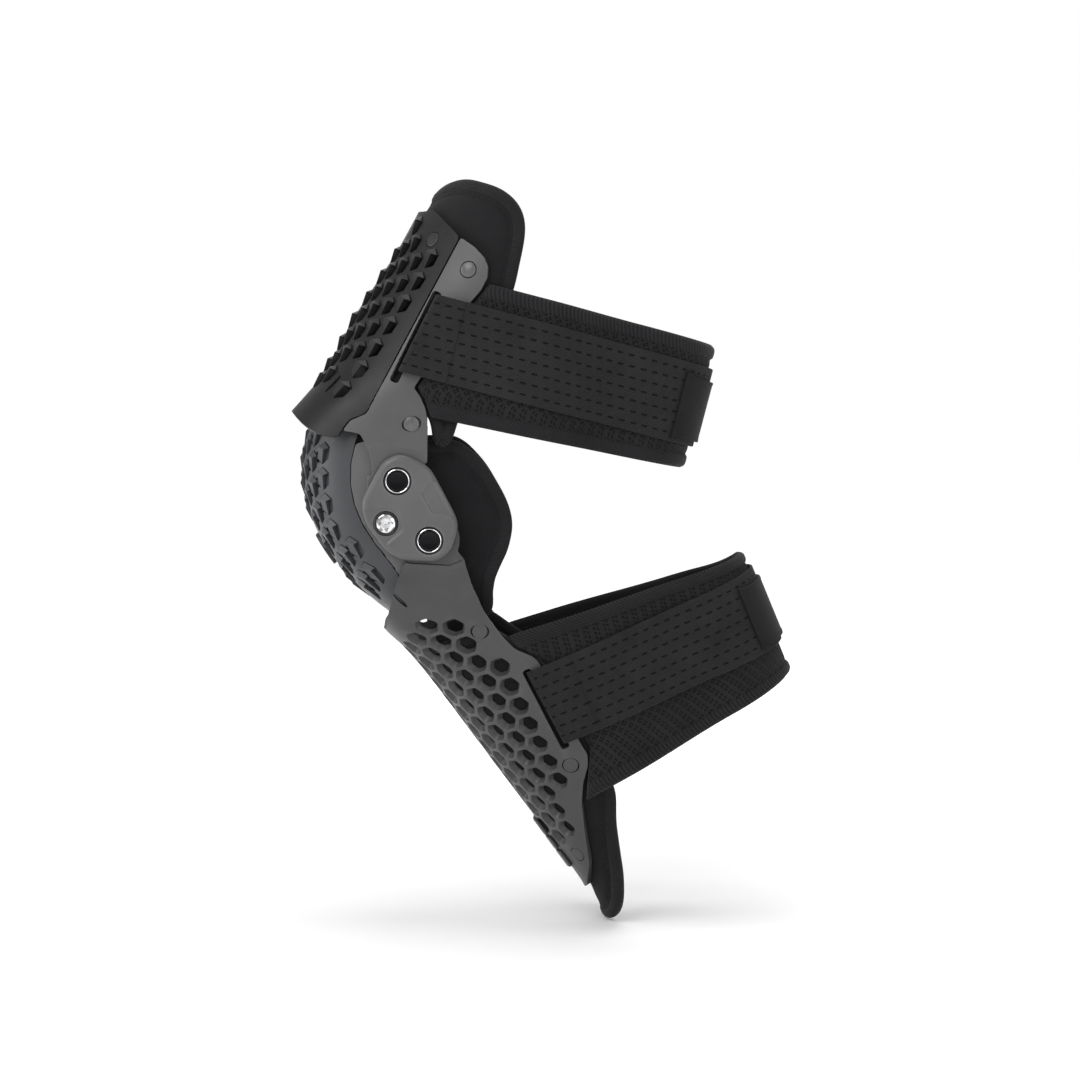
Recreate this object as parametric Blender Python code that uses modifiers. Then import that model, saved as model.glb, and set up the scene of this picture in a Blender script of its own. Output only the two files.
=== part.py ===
"""Knee guard for riding: a hinged thigh and shin shell round a floating knee cup.

Metres, +Z up. +X is the outer side of the leg, -Y the front. The origin is the knee's
centre, midway between the two pivots of each side hinge. The guard stands bent by 65 degrees.
All sizes below are in millimetres and angles in degrees.
"""
import math

import bmesh
import bpy
import numpy as np
from mathutils import Matrix, Vector

mm = 0.001

# Hinge: two geared pivots on each side, in layers from the leg outwards
upper_pivot = (-9.5, 17.9)
lower_pivot = (9.5, -17.9)
cover_stud = (-16.5, -7.6)
ear_inner, ear_outer = 61.3, 63.8
arm_inner, arm_outer = 64.1, 67.6
cover_inner, cover_outer = 67.9, 72.4
seat_floor = 69.2
shank_radius = 4.0
cap_radius = 6.2
ring_radius = 8.2
stud_radius = 7.3
gap = 0.3
gear_teeth = 24
gear_pitch_radius = math.dist(upper_pivot, lower_pivot) / 2
gear_root, gear_tip = 1.9, 1.2
tooth_share = 0.42

# Shells and soft layers
shell_thickness = 3.2
frame_thickness = 3.5
liner_thickness = 6.5
liner_gap = 0.6
rivet_radius = 4.7
rivet_proud = 0.8
section_points = 8

# Straps
strap_thickness = 2.0
strap_width = 50.0
pad_thickness = 4.5
tab_thickness = 1.6
slot_width = 5.4

# Raised bars low on the shin's front: place along the shin, length
shin_bars = ((210.5, 11.5), (222.8, 9.5), (235.3, 12.5))

# Where each leg segment's axis and front point, as (y, z)
thigh_lean = 28.0
shin_lean = 36.9
knee_frame = ((0.0, 1.0), (-1.0, 0.0))
thigh_frame_axes = (
    (math.sin(math.radians(thigh_lean)), math.cos(math.radians(thigh_lean))),
    (-math.cos(math.radians(thigh_lean)), math.sin(math.radians(thigh_lean))),
)
shin_frame_axes = (
    (math.sin(math.radians(shin_lean)), -math.cos(math.radians(shin_lean))),
    (-math.cos(math.radians(shin_lean)), -math.sin(math.radians(shin_lean))),
)

# Cross-sections along each segment: place, half width, front, where the side turns straight, rear, power
thigh_sections = [
    (6, 67.6, 97, 20, -26, 3.8),
    (18, 67.6, 94, 20, -26, 3.6),
    (32, 67.6, 90.5, 20, -26, 3.4),
    (48, 67.6, 87, 19, -26, 3.0),
    (64, 68.4, 86.5, 18, -26, 2.55),
    (82, 69.6, 88, 17, -26, 2.25),
    (106, 71.2, 85.6, 16, -26, 2.15),
    (134, 73.0, 82.8, 16, -26, 2.1),
    (165, 74.5, 82.4, 16, -26, 2.1),
    (205, 75.5, 84, 16, -26, 2.1),
]
knee_sections = [
    (-74, 52.0, 5.0, -30, -62, 2.2),
    (-66, 57.0, 16.5, -22, -62, 2.3),
    (-56, 60.5, 29.0, -12, -62, 2.4),
    (-44, 62.6, 41.2, -4, -62, 2.55),
    (-32, 63.8, 50.6, 2, -62, 2.7),
    (-18, 63.8, 59.6, 4, -62, 2.75),
    (-4, 63.8, 65.2, 5, -62, 2.65),
    (12, 63.8, 69.0, 5, -62, 2.6),
    (28, 63.8, 69.6, 5, -62, 2.6),
    (44, 63.2, 66.6, 5, -62, 2.7),
    (62, 60.5, 58.0, 5, -62, 2.5),
]
shin_sections = [
    (8, 67.6, 60.0, 22, -40, 4.5),
    (30, 67.6, 60.5, 22, -40, 4.4),
    (52, 67.4, 60.5, 18, -40, 3.6),
    (64, 67.0, 58.2, 12, -40, 3.0),
    (86, 66.2, 57.4, 3, -40, 2.5),
    (120, 64.0, 57.5, 2, -40, 2.3),
    (160, 60.0, 58.0, 2, -40, 2.2),
    (200, 54.0, 58.2, 2, -40, 2.1),
    (235, 49.0, 58.8, 2, -40, 2.1),
    (258, 46.5, 59.2, 2, -40, 2.1),
    (290, 44.0, 69.0, 2, -40, 2.1),
]

# Side outlines as (y, z)
thigh_plate_outline = [
    (-8, 184), (2.9, 181.4), (12.4, 181.2), (28.0, 163.8), (-28.4, 58.6), (-38.4, 54.6),
    (-43.6, 47.6), (-45.2, 44.2), (-50.6, 44.7), (-58, 46.4), (-66, 51.0), (-75, 59.4), (-100, 80),
    (-100, 140), (-30, 200),
]
thigh_frame_outline = [
    (28.8, 163.5), (36.6, 158.0), (42.6, 151.6), (45.0, 146.2), (44.6, 139.4), (40.7, 131.8),
    (33.9, 123.9), (0.6, 73.8), (4.4, 68.4), (7.6, 61.0), (8.6, 54.7), (8.6, 29.0),
]
thigh_frame_front = [
    (-24.8, 20.7), (-24.8, 27.5), (-26.3, 33.6), (-29.3, 41.6), (-31.8, 45.9), (-35.6, 47.1),
    (-42.2, 48.0), (-37.9, 54.2), (-28.1, 58.2),
]
thigh_slot = ((14.0, 128.6), (-10.6, 79.6))
thigh_liner_outline = [
    (4.2, 181.0), (6.7, 190.5), (11.8, 197.6), (20.0, 201.4), (29.9, 201.8), (49.7, 194.5),
    (60.6, 186.0), (66.2, 176.0), (66.6, 164.0), (63.5, 147.3), (60.5, 132.5), (26.6, 54.0),
    (24.2, 43.5), (20.9, 37.6), (15.0, 34.6), (11.6, 37.4), (10.6, 54.0), (0.0, 68.0),
    (-22, 80), (-50, 97), (-100, 124), (-100, 140), (-30, 190),
]
cup_seam = [
    (-27.8, 62.0), (-31.4, 52.0), (-35.2, 40.0), (-37.9, 28.0), (-38.2, 16.0), (-36.0, 3.6),
    (-31.0, -8.4), (-23.0, -20.6), (-14.6, -31.2), (-8.6, -40.0), (-3.0, -52.0), (0.5, -66.0),
]
ear_rear = [
    (-5.4, -44.5), (6.0, -42.5), (18.0, -36.5), (25.6, -26.0), (24.4, -10.0),
    (14.0, 8.0), (8.4, 24.0), (0.0, 36.0), (-10.0, 41.0), (-24.0, 43.0),
]
knee_liner_outline = [
    (-100, 45), (-40, 48), (-24.0, 44.5), (-8.0, 42.5), (10.0, 41.5), (24.7, 43.1), (33.9, 38.2),
    (46.8, 23.1), (57.0, 4.6), (60.8, -9.5), (58.4, -24.7), (53.0, -37.7), (50.4, -48.0), (50.2, -57.0),
    (52.6, -66.0), (49.0, -71.0), (36.0, -70.0), (24.0, -62.5), (-6.0, -61.0), (-60.0, -61.0), (-100, -20),
]
hinge_cover_outline = [
    (-31.0, 2.6), (-30.0, 8.0), (-22.6, 22.4), (-17.6, 30.4), (-11.2, 33.5), (-6.0, 33.9),
    (0.5, 31.4), (10.1, 26.0), (16.5, 14.3), (26.0, -4.0), (27.0, -10.4), (22.8, -24.3),
    (14.2, -30.7), (-7.2, -29.6), (-16.7, -24.2), (-28.4, -8.0),
]
stud_pocket_outline = [
    (-40, -1.5), (-29.0, 0.8), (-14.5, 2.0), (-10.4, 0.7), (-5.5, -9.6), (-7.0, -12.2), (-18.0, -21.8),
    (-30, -34),
]
shin_plate_outline = [
    (30.7, -29.8), (31.6, -34.0), (35.2, -45.2), (42.9, -62.3), (53.7, -77.2), (61.3, -84.5),
    (72.1, -89.4), (76.0, -93.3), (101.5, -143.5), (105.8, -150.5), (106.2, -157.4), (103.4, -168.8),
    (102.7, -181.1), (105.1, -200.9), (108.6, -222.0), (108.3, -231.2), (107.8, -246.0),
    (80, -246), (-60, -100.2), (-22, -79.5), (-17.0, -74.0), (-15.6, -64.0), (-10.2, -43.3), (-6.0, -33.0),
]
shin_slot = ((69.0, -99.6), (91.6, -144.1))
shin_liner_outline = [
    (47.0, -71.0), (62.0, -82.0), (78.0, -92.0), (112.0, -154.3), (124.5, -175.1), (123.3, -196.5),
    (125.7, -229.6), (125.0, -252.7), (121.6, -261.4), (117.0, -265.1), (112.4, -260.4), (107.7, -245.9),
    (60, -245.8), (-60, -131.4), (-20, -100.2), (14, -84),
]

# Rivets as (y, z), seen from the side
thigh_rivets = [("plate", (11.8, 163.0)), ("frame", (33.2, 144.2)), ("frame", (-0.8, 52.0))]
shin_rivets = [(40.0, -73.4), (95.6, -157.4), (101.4, -217.7)]

# Strap loops round the leg's back, in a plane through the slots: "run" points back along the
# strap and "up" across it; starts holds the pad's front edge as (up, distance back)
thigh_loop = {
    "centre": (1.7, 104.0), "run": (0.968, -0.252), "length": 178.0, "straight": 72.0,
    "half_width": 67.9, "rear_half_width": 48.0, "lean": 0.056, "slot_slope": 0.215, "slot_inner": 68.4,
    "pad_starts": [(-44.5, 20.5), (-34.0, 13.5), (-29.5, 8.5), (27.4, 28.0), (36.7, 32.5), (41.0, 34.5)],
    "pad_rear": (-36.0, 41.5), "strap_middle": 2.8,
}
shin_loop = {
    "centre": (80.4, -120.8), "run": (0.923, 0.385), "length": 147.0, "straight": 30.0,
    "half_width": 57.6, "rear_half_width": 42.0, "lean": 0.095, "slot_slope": -0.09, "slot_inner": 59.4,
    "pad_starts": [
        (-63.0, 0.9), (-50.0, 7.6), (-35.0, 15.3), (0.0, 15.0), (28.0, 9.5), (40.0, -1.5), (49.0, -5.5),
    ],
    "pad_rear": (-46.0, 35.0), "strap_middle": 0.0,
}
turn_steps = 11
turn_first = 4
tab_half = strap_width / 2 - 1.0
tab_first, tab_last = 2, 6


def clear_scene():
    for old in list(bpy.data.objects):
        bpy.data.objects.remove(old, do_unlink=True)
    for kind in (bpy.data.meshes, bpy.data.curves, bpy.data.materials):
        for block in list(kind):
            kind.remove(block)


def new_collection(name):
    made = bpy.data.collections.new(name)
    bpy.context.scene.collection.children.link(made)
    return made


def new_material(name, colour, roughness, metallic=0.0):
    made = bpy.data.materials.new(name)
    made.use_nodes = True
    shader = made.node_tree.nodes["Principled BSDF"]
    shader.inputs["Base Color"].default_value = (*colour, 1.0)
    shader.inputs["Roughness"].default_value = roughness
    shader.inputs["Metallic"].default_value = metallic
    return made


def new_empty(name, pivot):
    """A leg segment's empty, on the X axis of its own hinge pivot."""
    made = bpy.data.objects.new(name, None)
    made.empty_display_size = 20 * mm
    made.location = (0.0, pivot[0] * mm, pivot[1] * mm)
    parts.objects.link(made)
    return made


def finish_piece(piece, look, body):
    piece.data.materials.clear()
    piece.data.materials.append(look)
    piece.parent = body
    piece.matrix_parent_inverse = Matrix.Translation(-body.location)
    return piece


def as_cutter(piece):
    piece.hide_render = True
    piece.display_type = "WIRE"
    return piece


def grid_object(name, grid, collection):
    """An open surface through a grid of points, its faces turned outwards."""
    rows, columns, _ = grid.shape
    faces = []
    for row in range(rows - 1):
        for column in range(columns - 1):
            corner = row * columns + column
            faces.append((corner, corner + 1, corner + columns + 1, corner + columns))
    mesh = bpy.data.meshes.new(name)
    mesh.from_pydata((grid.reshape(-1, 3) * mm).tolist(), [], faces)
    mesh.shade_smooth()
    mesh.set_sharp_from_angle(angle=math.radians(40))
    made = bpy.data.objects.new(name, mesh)
    collection.objects.link(made)
    return made


def grid_normals(grid):
    along = np.gradient(grid, axis=0)
    across = np.gradient(grid, axis=1)
    normals = np.cross(across, along)
    return normals / np.linalg.norm(normals, axis=2, keepdims=True)


def section_curve(half_width, front, side, rear, power):
    """Half a cross-section from the front middle round to the rear, as (x, d)."""
    points = []
    for step in range(section_points + 1):
        angle = math.pi / 2 * step / section_points
        x = half_width * math.sin(angle) ** (2 / power)
        d = side + (front - side) * math.cos(angle) ** (2 / power)
        points.append((x, d))
    points.append((half_width, (side + rear) / 2))
    points.append((half_width, rear))
    return points


def surface_grid(sections, axes, offset=0.0):
    """Points of a leg shell, rows along the leg and columns from its left edge to its right."""
    (axis_y, axis_z), (front_y, front_z) = axes
    rows = []
    for place, half_width, front, side, rear, power in sections:
        half = section_curve(half_width, front, side, rear, power)
        across = [(-x, d) for x, d in reversed(half)] + half[1:]
        rows.append([(x, place * axis_y + d * front_y, place * axis_z + d * front_z) for x, d in across])
    grid = np.array(rows)
    normals = grid_normals(grid)
    if (normals[:, section_points + 2] @ np.array((0.0, front_y, front_z))).mean() < 0:
        grid = grid[:, ::-1]
        normals = grid_normals(grid)
    return grid + offset * normals


def surface_at(sections, axes, y, z):
    """The outer surface's point and normal on the +X side, where it shows at (y, z) from the side."""
    (axis_y, axis_z), (front_y, front_z) = axes
    place = y * axis_y + z * axis_z
    d = y * front_y + z * front_z

    def width_at(place, d):
        table = np.array(sections, dtype=float)
        half_width, front, side, _, power = (np.interp(place, table[:, 0], table[:, k]) for k in range(1, 6))
        share = min(max((d - side) / (front - side), 0.0), 1.0)
        return half_width * (1 - share ** power) ** (1 / power)

    step = 0.5
    slope_place = (width_at(place + step, d) - width_at(place - step, d)) / (2 * step)
    slope_d = (width_at(place, d + step) - width_at(place, d - step)) / (2 * step)
    normal = Vector((
        1.0,
        -slope_place * axis_y - slope_d * front_y,
        -slope_place * axis_z - slope_d * front_z,
    )).normalized()
    return Vector((width_at(place, d), y, z)), normal


def thicken(piece, thickness):
    solid = piece.modifiers.new("Solidify", "SOLIDIFY")
    solid.thickness = thickness * mm
    solid.offset = -1.0
    solid.use_even_offset = True
    return piece


def outline_solid(name, outline, x_from, x_to, collection):
    """A side outline extruded across the leg, as a closed mesh."""
    curve = bpy.data.curves.new(name, "CURVE")
    curve.dimensions = "2D"
    curve.fill_mode = "BOTH"
    curve.extrude = abs(x_to - x_from) / 2 * mm
    spline = curve.splines.new("POLY")
    spline.points.add(len(outline) - 1)
    for point, (y, z) in zip(spline.points, outline):
        point.co = (y * mm, z * mm, 0.0, 1.0)
    spline.use_cyclic_u = True
    flat = bpy.data.objects.new(name, curve)
    middle = (x_from + x_to) / 2 * mm
    flat.matrix_world = Matrix(((0, 0, 1, middle), (1, 0, 0, 0), (0, 1, 0, 0), (0, 0, 0, 1)))
    collection.objects.link(flat)
    bpy.context.view_layer.update()
    graph = bpy.context.evaluated_depsgraph_get()
    mesh = bpy.data.meshes.new_from_object(flat.evaluated_get(graph))
    shape = bmesh.new()
    shape.from_mesh(mesh)
    bmesh.ops.remove_doubles(shape, verts=shape.verts, dist=0.00001)
    bmesh.ops.recalc_face_normals(shape, faces=shape.faces)
    shape.to_mesh(mesh)
    shape.free()
    place = flat.matrix_world.copy()
    bpy.data.objects.remove(flat, do_unlink=True)
    made = bpy.data.objects.new(name, mesh)
    made.matrix_world = place
    collection.objects.link(made)
    return made


def turned(name, profile, at, axis, collection, steps=20):
    """A profile of (radius, height) turned about an axis; it runs down the outer side."""
    mesh = bpy.data.meshes.new(name)
    points = [(radius * mm, 0.0, height * mm) for radius, height in profile]
    mesh.from_pydata(points, [(k, k + 1) for k in range(len(points) - 1)], [])
    made = bpy.data.objects.new(name, mesh)
    made.location = Vector(at) * mm
    made.rotation_mode = "QUATERNION"
    made.rotation_quaternion = Vector(axis).to_track_quat("Z", "Y")
    collection.objects.link(made)
    screw = made.modifiers.new("Screw", "SCREW")
    screw.steps = steps
    screw.render_steps = steps
    screw.use_merge_vertices = True
    screw.merge_threshold = 0.00001
    screw.use_smooth_shade = True
    return made


def ring_profile(inner, outer, bottom, top, rim=0.4):
    """A ring's closed profile: down the outside, then back up the bore."""
    return [
        (inner, top), (outer - rim, top), (outer, top - rim), (outer, bottom), (inner, bottom), (inner, top),
    ]


def headed_profile(head_radius, head_top, head_bottom, shank, shank_bottom, rim=0.5):
    return [
        (0.0, head_top), (head_radius - rim, head_top), (head_radius, head_top - rim),
        (head_radius, head_bottom), (shank, head_bottom), (shank, shank_bottom), (0.0, shank_bottom),
    ]


def apply_boolean(piece, cutter, operation, solver="EXACT"):
    made = piece.modifiers.new(operation.title() + " " + cutter.name, "BOOLEAN")
    made.operation = operation
    made.object = cutter
    made.solver = solver
    return piece


def shell_piece(name, grid, thickness, outline, look, body, side=0):
    """A shell cut to its side outline; side +1 or -1 keeps only that half of the leg."""
    piece = thicken(grid_object(name, grid, parts), thickness)
    x_from, x_to = {0: (-110, 110), 1: (20, 110), -1: (-110, -20)}[side]
    cutter = as_cutter(outline_solid(name + "_outline", outline, x_from, x_to, cutters))
    apply_boolean(piece, cutter, "INTERSECT")
    return finish_piece(piece, look, body)


def cut_hole(piece, name, at, normal, radius, depth=12.0, solver="EXACT"):
    shape = bmesh.new()
    bmesh.ops.create_cone(
        shape, cap_ends=True, segments=18, radius1=radius * mm, radius2=radius * mm, depth=depth * mm,
    )
    mesh = bpy.data.meshes.new(name)
    shape.to_mesh(mesh)
    shape.free()
    cutter = bpy.data.objects.new(name, mesh)
    cutter.location = Vector(at) * mm
    cutter.rotation_mode = "QUATERNION"
    cutter.rotation_quaternion = Vector(normal).to_track_quat("Z", "Y")
    cutters.objects.link(cutter)
    apply_boolean(piece, as_cutter(cutter), "DIFFERENCE", solver)


def slot_outline(ends, width):
    """A long slot with clipped corners, round the line between its two ends."""
    (y0, z0), (y1, z1) = ends
    length = math.dist(*ends)
    along = ((y1 - y0) / length, (z1 - z0) / length)
    across = (-along[1], along[0])
    half = width / 2
    corner = width / 4
    shape = [
        (-half + corner, -half), (length + half - corner, -half), (length + half, -half + corner),
        (length + half, half - corner), (length + half - corner, half), (-half + corner, half),
        (-half, half - corner), (-half, -half + corner),
    ]
    return [(y0 + s * along[0] + w * across[0], z0 + s * along[1] + w * across[1]) for s, w in shape]


def gear_end(pivot, other, start_deg, end_deg, spread=52.0):
    """The toothed round end of an arm: an arc about its pivot, with teeth facing the other pivot."""
    facing = math.degrees(math.atan2(other[1] - pivot[1], other[0] - pivot[0]))
    pitch = 360.0 / gear_teeth
    shift = 0.0 if pivot == upper_pivot else pitch / 2
    root = gear_pitch_radius - gear_root
    tip = gear_pitch_radius + gear_tip
    corners = []
    for tooth in range(-4, 5):
        middle = tooth * pitch + shift
        if abs(middle) > spread:
            continue
        half = pitch * tooth_share / 2
        corners += [
            (middle - half * 1.45, root), (middle - half * 0.55, tip),
            (middle + half * 0.55, tip), (middle + half * 1.45, root),
        ]
    corners.reverse()
    points = []
    first = start_deg - facing
    last = end_deg - facing
    for angle in np.linspace(first, corners[0][0], 5)[:-1]:
        points.append((angle, root))
    points += corners
    for angle in np.linspace(corners[-1][0], last, 5)[1:]:
        points.append((angle, root))
    return [
        (
            pivot[0] + radius * math.cos(math.radians(angle + facing)),
            pivot[1] + radius * math.sin(math.radians(angle + facing)),
        )
        for angle, radius in points
    ]


def loop_path(loop, start, outset):
    """A loop's plan path from its outer side round the back to its inner side, as (x, back) pairs."""
    side, rear = loop["half_width"], loop["rear_half_width"]
    turn = loop["length"] - rear
    half = [(side, start), (side, loop["straight"])]
    for share in (0.4, 0.75):
        ease = share * share * (3 - 2 * share)
        half.append((side + (rear - side) * ease, loop["straight"] + (turn - loop["straight"]) * share))
    round_back = []
    for step in range(turn_steps):
        angle = math.pi * step / (turn_steps - 1)
        round_back.append((rear * math.cos(angle), turn + rear * math.sin(angle)))
    path = np.array(half + round_back + [(-x, back) for x, back in reversed(half)])
    along = np.diff(path, axis=0)
    sides = np.stack((along[:, 1], -along[:, 0]), axis=1)
    sides /= np.linalg.norm(sides, axis=1, keepdims=True)
    before, after = np.vstack((sides[:1], sides)), np.vstack((sides, sides[-1:]))
    mitre = (before + after) / (1 + (before * after).sum(axis=1, keepdims=True))
    return path + outset * mitre


def band_piece(name, loop, rows, thickness, look, body):
    """A flat band from rows of (up at the slot, up at the rear, path), solid inwards from its outer face."""
    (run_y, run_z), (centre_y, centre_z) = loop["run"], loop["centre"]
    grid = []
    for up_front, up_rear, path in rows:
        line = []
        for x, back in path:
            share = min(max(back / loop["length"], 0.0), 1.0)
            up = up_front + (up_rear - up_front) * share
            wide = x + math.copysign(1.0, x) * loop["lean"] * up * (1 - share)
            line.append((wide, centre_y + back * run_y - up * run_z, centre_z + back * run_z + up * run_y))
        grid.append(line)
    grid = np.array(grid)
    if grid_normals(grid)[0, 2, 0] < 0:
        grid = grid[::-1]
    piece = thicken(grid_object(name, grid, parts), thickness)
    return finish_piece(piece, look, body)


def slot_lead(loop, path, up):
    """A strap's path with its two ends led in through the side slots."""
    first = loop["slot_slope"] * up - strap_thickness / 2
    lead = [(loop["slot_inner"], first), (path[0][0] - 1.6, first + 0.4), (path[0][0], first + 4.0)]
    return np.array(lead + path[1:-1].tolist() + [(-x, back) for x, back in reversed(lead)])


clear_scene()
parts = new_collection("knee_guard")
cutters = new_collection("cutters")
cutters.hide_render = True

plate_black = new_material("plate_black", (0.030, 0.031, 0.033), 0.50)
frame_grey = new_material("frame_grey", (0.070, 0.071, 0.073), 0.46)
cup_grey = new_material("cup_grey", (0.055, 0.057, 0.062), 0.50)
shin_grey = new_material("shin_grey", (0.050, 0.051, 0.053), 0.50)
cover_grey = new_material("cover_grey", (0.100, 0.100, 0.102), 0.42)
cap_black = new_material("cap_black", (0.006, 0.006, 0.007), 0.12)
chrome = new_material("chrome", (0.72, 0.73, 0.75), 0.12, 1.0)
rivet_grey = new_material("rivet_grey", (0.060, 0.060, 0.062), 0.38)
liner_knit = new_material("liner_knit", (0.012, 0.012, 0.013), 0.90)
strap_elastic = new_material("strap_elastic", (0.014, 0.014, 0.015), 0.80)
pad_mesh = new_material("pad_mesh", (0.013, 0.013, 0.014), 0.92)
tab_black = new_material("tab_black", (0.016, 0.016, 0.017), 0.60)

knee = new_empty("knee", (0.0, 0.0))
thigh = new_empty("thigh", upper_pivot)
shin = new_empty("shin", lower_pivot)

sides = (("right", 1), ("left", -1))

# Thigh: front plate, two side frames with the hinge arms, and the liner
thigh_grid = surface_grid(thigh_sections, thigh_frame_axes)
thigh_plate = shell_piece("thigh_plate", thigh_grid, shell_thickness, thigh_plate_outline, plate_black, thigh)
arm_hole = shank_radius + gap
frame_outline = thigh_frame_outline + gear_end(upper_pivot, lower_pivot, 32.0, -192.0) + thigh_frame_front
for side_name, side in sides:
    frame = shell_piece(
        "thigh_frame_" + side_name, thigh_grid, frame_thickness, frame_outline, frame_grey, thigh, side,
    )
    cut_hole(frame, "thigh_arm_bore_" + side_name, (side * 66, *upper_pivot), (1, 0, 0), arm_hole)
    for number, (holder, spot) in enumerate(thigh_rivets, 1):
        at, normal = surface_at(thigh_sections, thigh_frame_axes, *spot)
        at.x, normal.x = at.x * side, normal.x * side
        host = thigh_plate if holder == "plate" else frame
        name = f"thigh_rivet_{side_name}_{number}"
        solver = "MANIFOLD" if holder == "frame" else "EXACT"  # a frame hole runs close to the slot
        cut_hole(host, name + "_hole", at, normal, rivet_radius + gap + 0.1, solver=solver)
        head = headed_profile(rivet_radius, rivet_proud, -1.2, 2.4, -2.9, 0.5)
        finish_piece(turned(name, head, at, normal, parts, 12), rivet_grey, thigh)
    slot = outline_solid(
        "thigh_slot_" + side_name, slot_outline(thigh_slot, slot_width), side * 50, side * 90, cutters,
    )
    apply_boolean(frame, as_cutter(slot), "DIFFERENCE")
liner_grid = surface_grid(thigh_sections, thigh_frame_axes, -(frame_thickness + liner_gap))
shell_piece("thigh_liner", liner_grid, liner_thickness, thigh_liner_outline, liner_knit, thigh)

# Knee: the cup, its two ears, the liner and the badge
knee_grid = surface_grid(knee_sections, knee_frame)
cup_front = [(-110, -66.0), (-110, 62.0)]
cup_outline = cup_seam + cup_front
shell_piece("knee_cup", knee_grid, 2.5, cup_outline, cup_grey, knee)
seam_gap = 0.4
ear_outline = [(y + seam_gap, z) for y, z in cup_seam[2:10]] + ear_rear
for side_name, side in sides:
    ear = shell_piece("cup_ear_" + side_name, knee_grid, 2.5, ear_outline, frame_grey, knee, side)
    for label, pivot in (("upper", upper_pivot), ("lower", lower_pivot), ("stud", cover_stud)):
        radius = arm_hole if label != "stud" else 3.0 + gap
        cut_hole(ear, f"ear_bore_{label}_{side_name}", (side * 62.5, *pivot), (1, 0, 0), radius)
knee_liner_grid = surface_grid(knee_sections, knee_frame, -3.1)
rear_inset = 5.0
back = np.clip((knee_liner_grid[:, :, 1] + 26.0) / 40.0, 0.0, 1.0)
knee_liner_grid[:, :, 0] -= np.sign(knee_liner_grid[:, :, 0]) * rear_inset * back
shell_piece("knee_liner", knee_liner_grid, 6.0, knee_liner_outline, liner_knit, knee)

badge_grid = surface_grid(knee_sections, knee_frame, 0.3 + 2.0)
badge_columns = slice(section_points - 1, section_points + 6)
badge_outline = [(-90, -15.0), (-50, -15.0), (-40, -28.0), (-36.5, -36.8), (-60, -60)]
badge = thicken(grid_object("cup_badge", badge_grid[:, badge_columns], parts), 2.0)
apply_boolean(
    badge, as_cutter(outline_solid("cup_badge_outline", badge_outline, -20, 20, cutters)), "INTERSECT"
)
finish_piece(badge, cup_grey, knee)

# Hinge covers with their pins, rings and studs
for side_name, side in sides:
    cover = outline_solid(
        "hinge_cover_" + side_name, hinge_cover_outline, side * cover_inner, side * cover_outer, parts,
    )
    finish_piece(cover, cover_grey, knee)
    bevel = cover.modifiers.new("Bevel", "BEVEL")
    bevel.width = 1.0 * mm
    bevel.segments = 1
    bevel.limit_method = "ANGLE"
    bevel.angle_limit = math.radians(60)
    axis = (side, 0, 0)
    pocket = outline_solid(
        "stud_pocket_" + side_name, stud_pocket_outline, side * (cover_outer - 1.2), side * 90, cutters,
    )
    apply_boolean(cover, as_cutter(pocket), "DIFFERENCE")
    for label, pivot in (("upper", upper_pivot), ("lower", lower_pivot)):
        at = (0, *pivot)
        seat = [
            (0.0, 80), (ring_radius + gap, 80), (ring_radius + gap, seat_floor), (arm_hole, seat_floor),
            (arm_hole, 60), (0.0, 60),
        ]
        cutter = as_cutter(turned(f"seat_{label}_{side_name}", seat, at, axis, cutters))
        apply_boolean(cover, cutter, "DIFFERENCE")
        ring = ring_profile(cap_radius + gap, ring_radius, seat_floor + gap, cover_outer - 0.1)
        name = f"pivot_ring_{label}_{side_name}"
        finish_piece(turned(name, ring, at, axis, parts), chrome, knee)
        pin = headed_profile(cap_radius, 71.9, seat_floor + gap, shank_radius, ear_inner)
        name = f"pivot_pin_{label}_{side_name}"
        finish_piece(turned(name, pin, at, axis, parts), cap_black, knee)
    seat = [
        (0.0, 80), (stud_radius + gap, 80), (stud_radius + gap, seat_floor), (3.3, seat_floor),
        (3.3, 60), (0.0, 60),
    ]
    cutter = as_cutter(turned("seat_stud_" + side_name, seat, (0, *cover_stud), axis, cutters))
    apply_boolean(cover, cutter, "DIFFERENCE")
    stud = headed_profile(stud_radius, 72.0, seat_floor + gap, 3.0, ear_inner, 0.8)
    stud_name = "cover_stud_" + side_name
    finish_piece(turned(stud_name, stud, (0, *cover_stud), axis, parts), chrome, knee)

# Shin: plate with the lower hinge arms, and the liner
shin_grid = surface_grid(shin_sections, shin_frame_axes)
arm_edge = gear_end(lower_pivot, upper_pivot, 224.0, -22.0)
shin_outline = shin_plate_outline + arm_edge
shin_plate = shell_piece("shin_plate", shin_grid, frame_thickness, shin_outline, shin_grey, shin)
for side_name, side in sides:
    cut_hole(shin_plate, "shin_arm_bore_" + side_name, (side * 66, *lower_pivot), (1, 0, 0), arm_hole)
    slot = outline_solid(
        "shin_slot_" + side_name, slot_outline(shin_slot, slot_width), side * 40, side * 90, cutters,
    )
    apply_boolean(shin_plate, as_cutter(slot), "DIFFERENCE")
    for number, spot in enumerate(shin_rivets, 1):
        at, normal = surface_at(shin_sections, shin_frame_axes, *spot)
        at.x, normal.x = at.x * side, normal.x * side
        name = f"shin_rivet_{side_name}_{number}"
        cut_hole(shin_plate, name + "_hole", at, normal, rivet_radius + gap + 0.1)
        head = headed_profile(rivet_radius, rivet_proud, -1.2, 2.4, -2.9, 0.5)
        finish_piece(turned(name, head, at, normal, parts, 12), rivet_grey, shin)
shin_liner_grid = surface_grid(shin_sections, shin_frame_axes, -(frame_thickness + liner_gap))
shell_piece("shin_liner", shin_liner_grid, liner_thickness, shin_liner_outline, liner_knit, shin)

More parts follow.
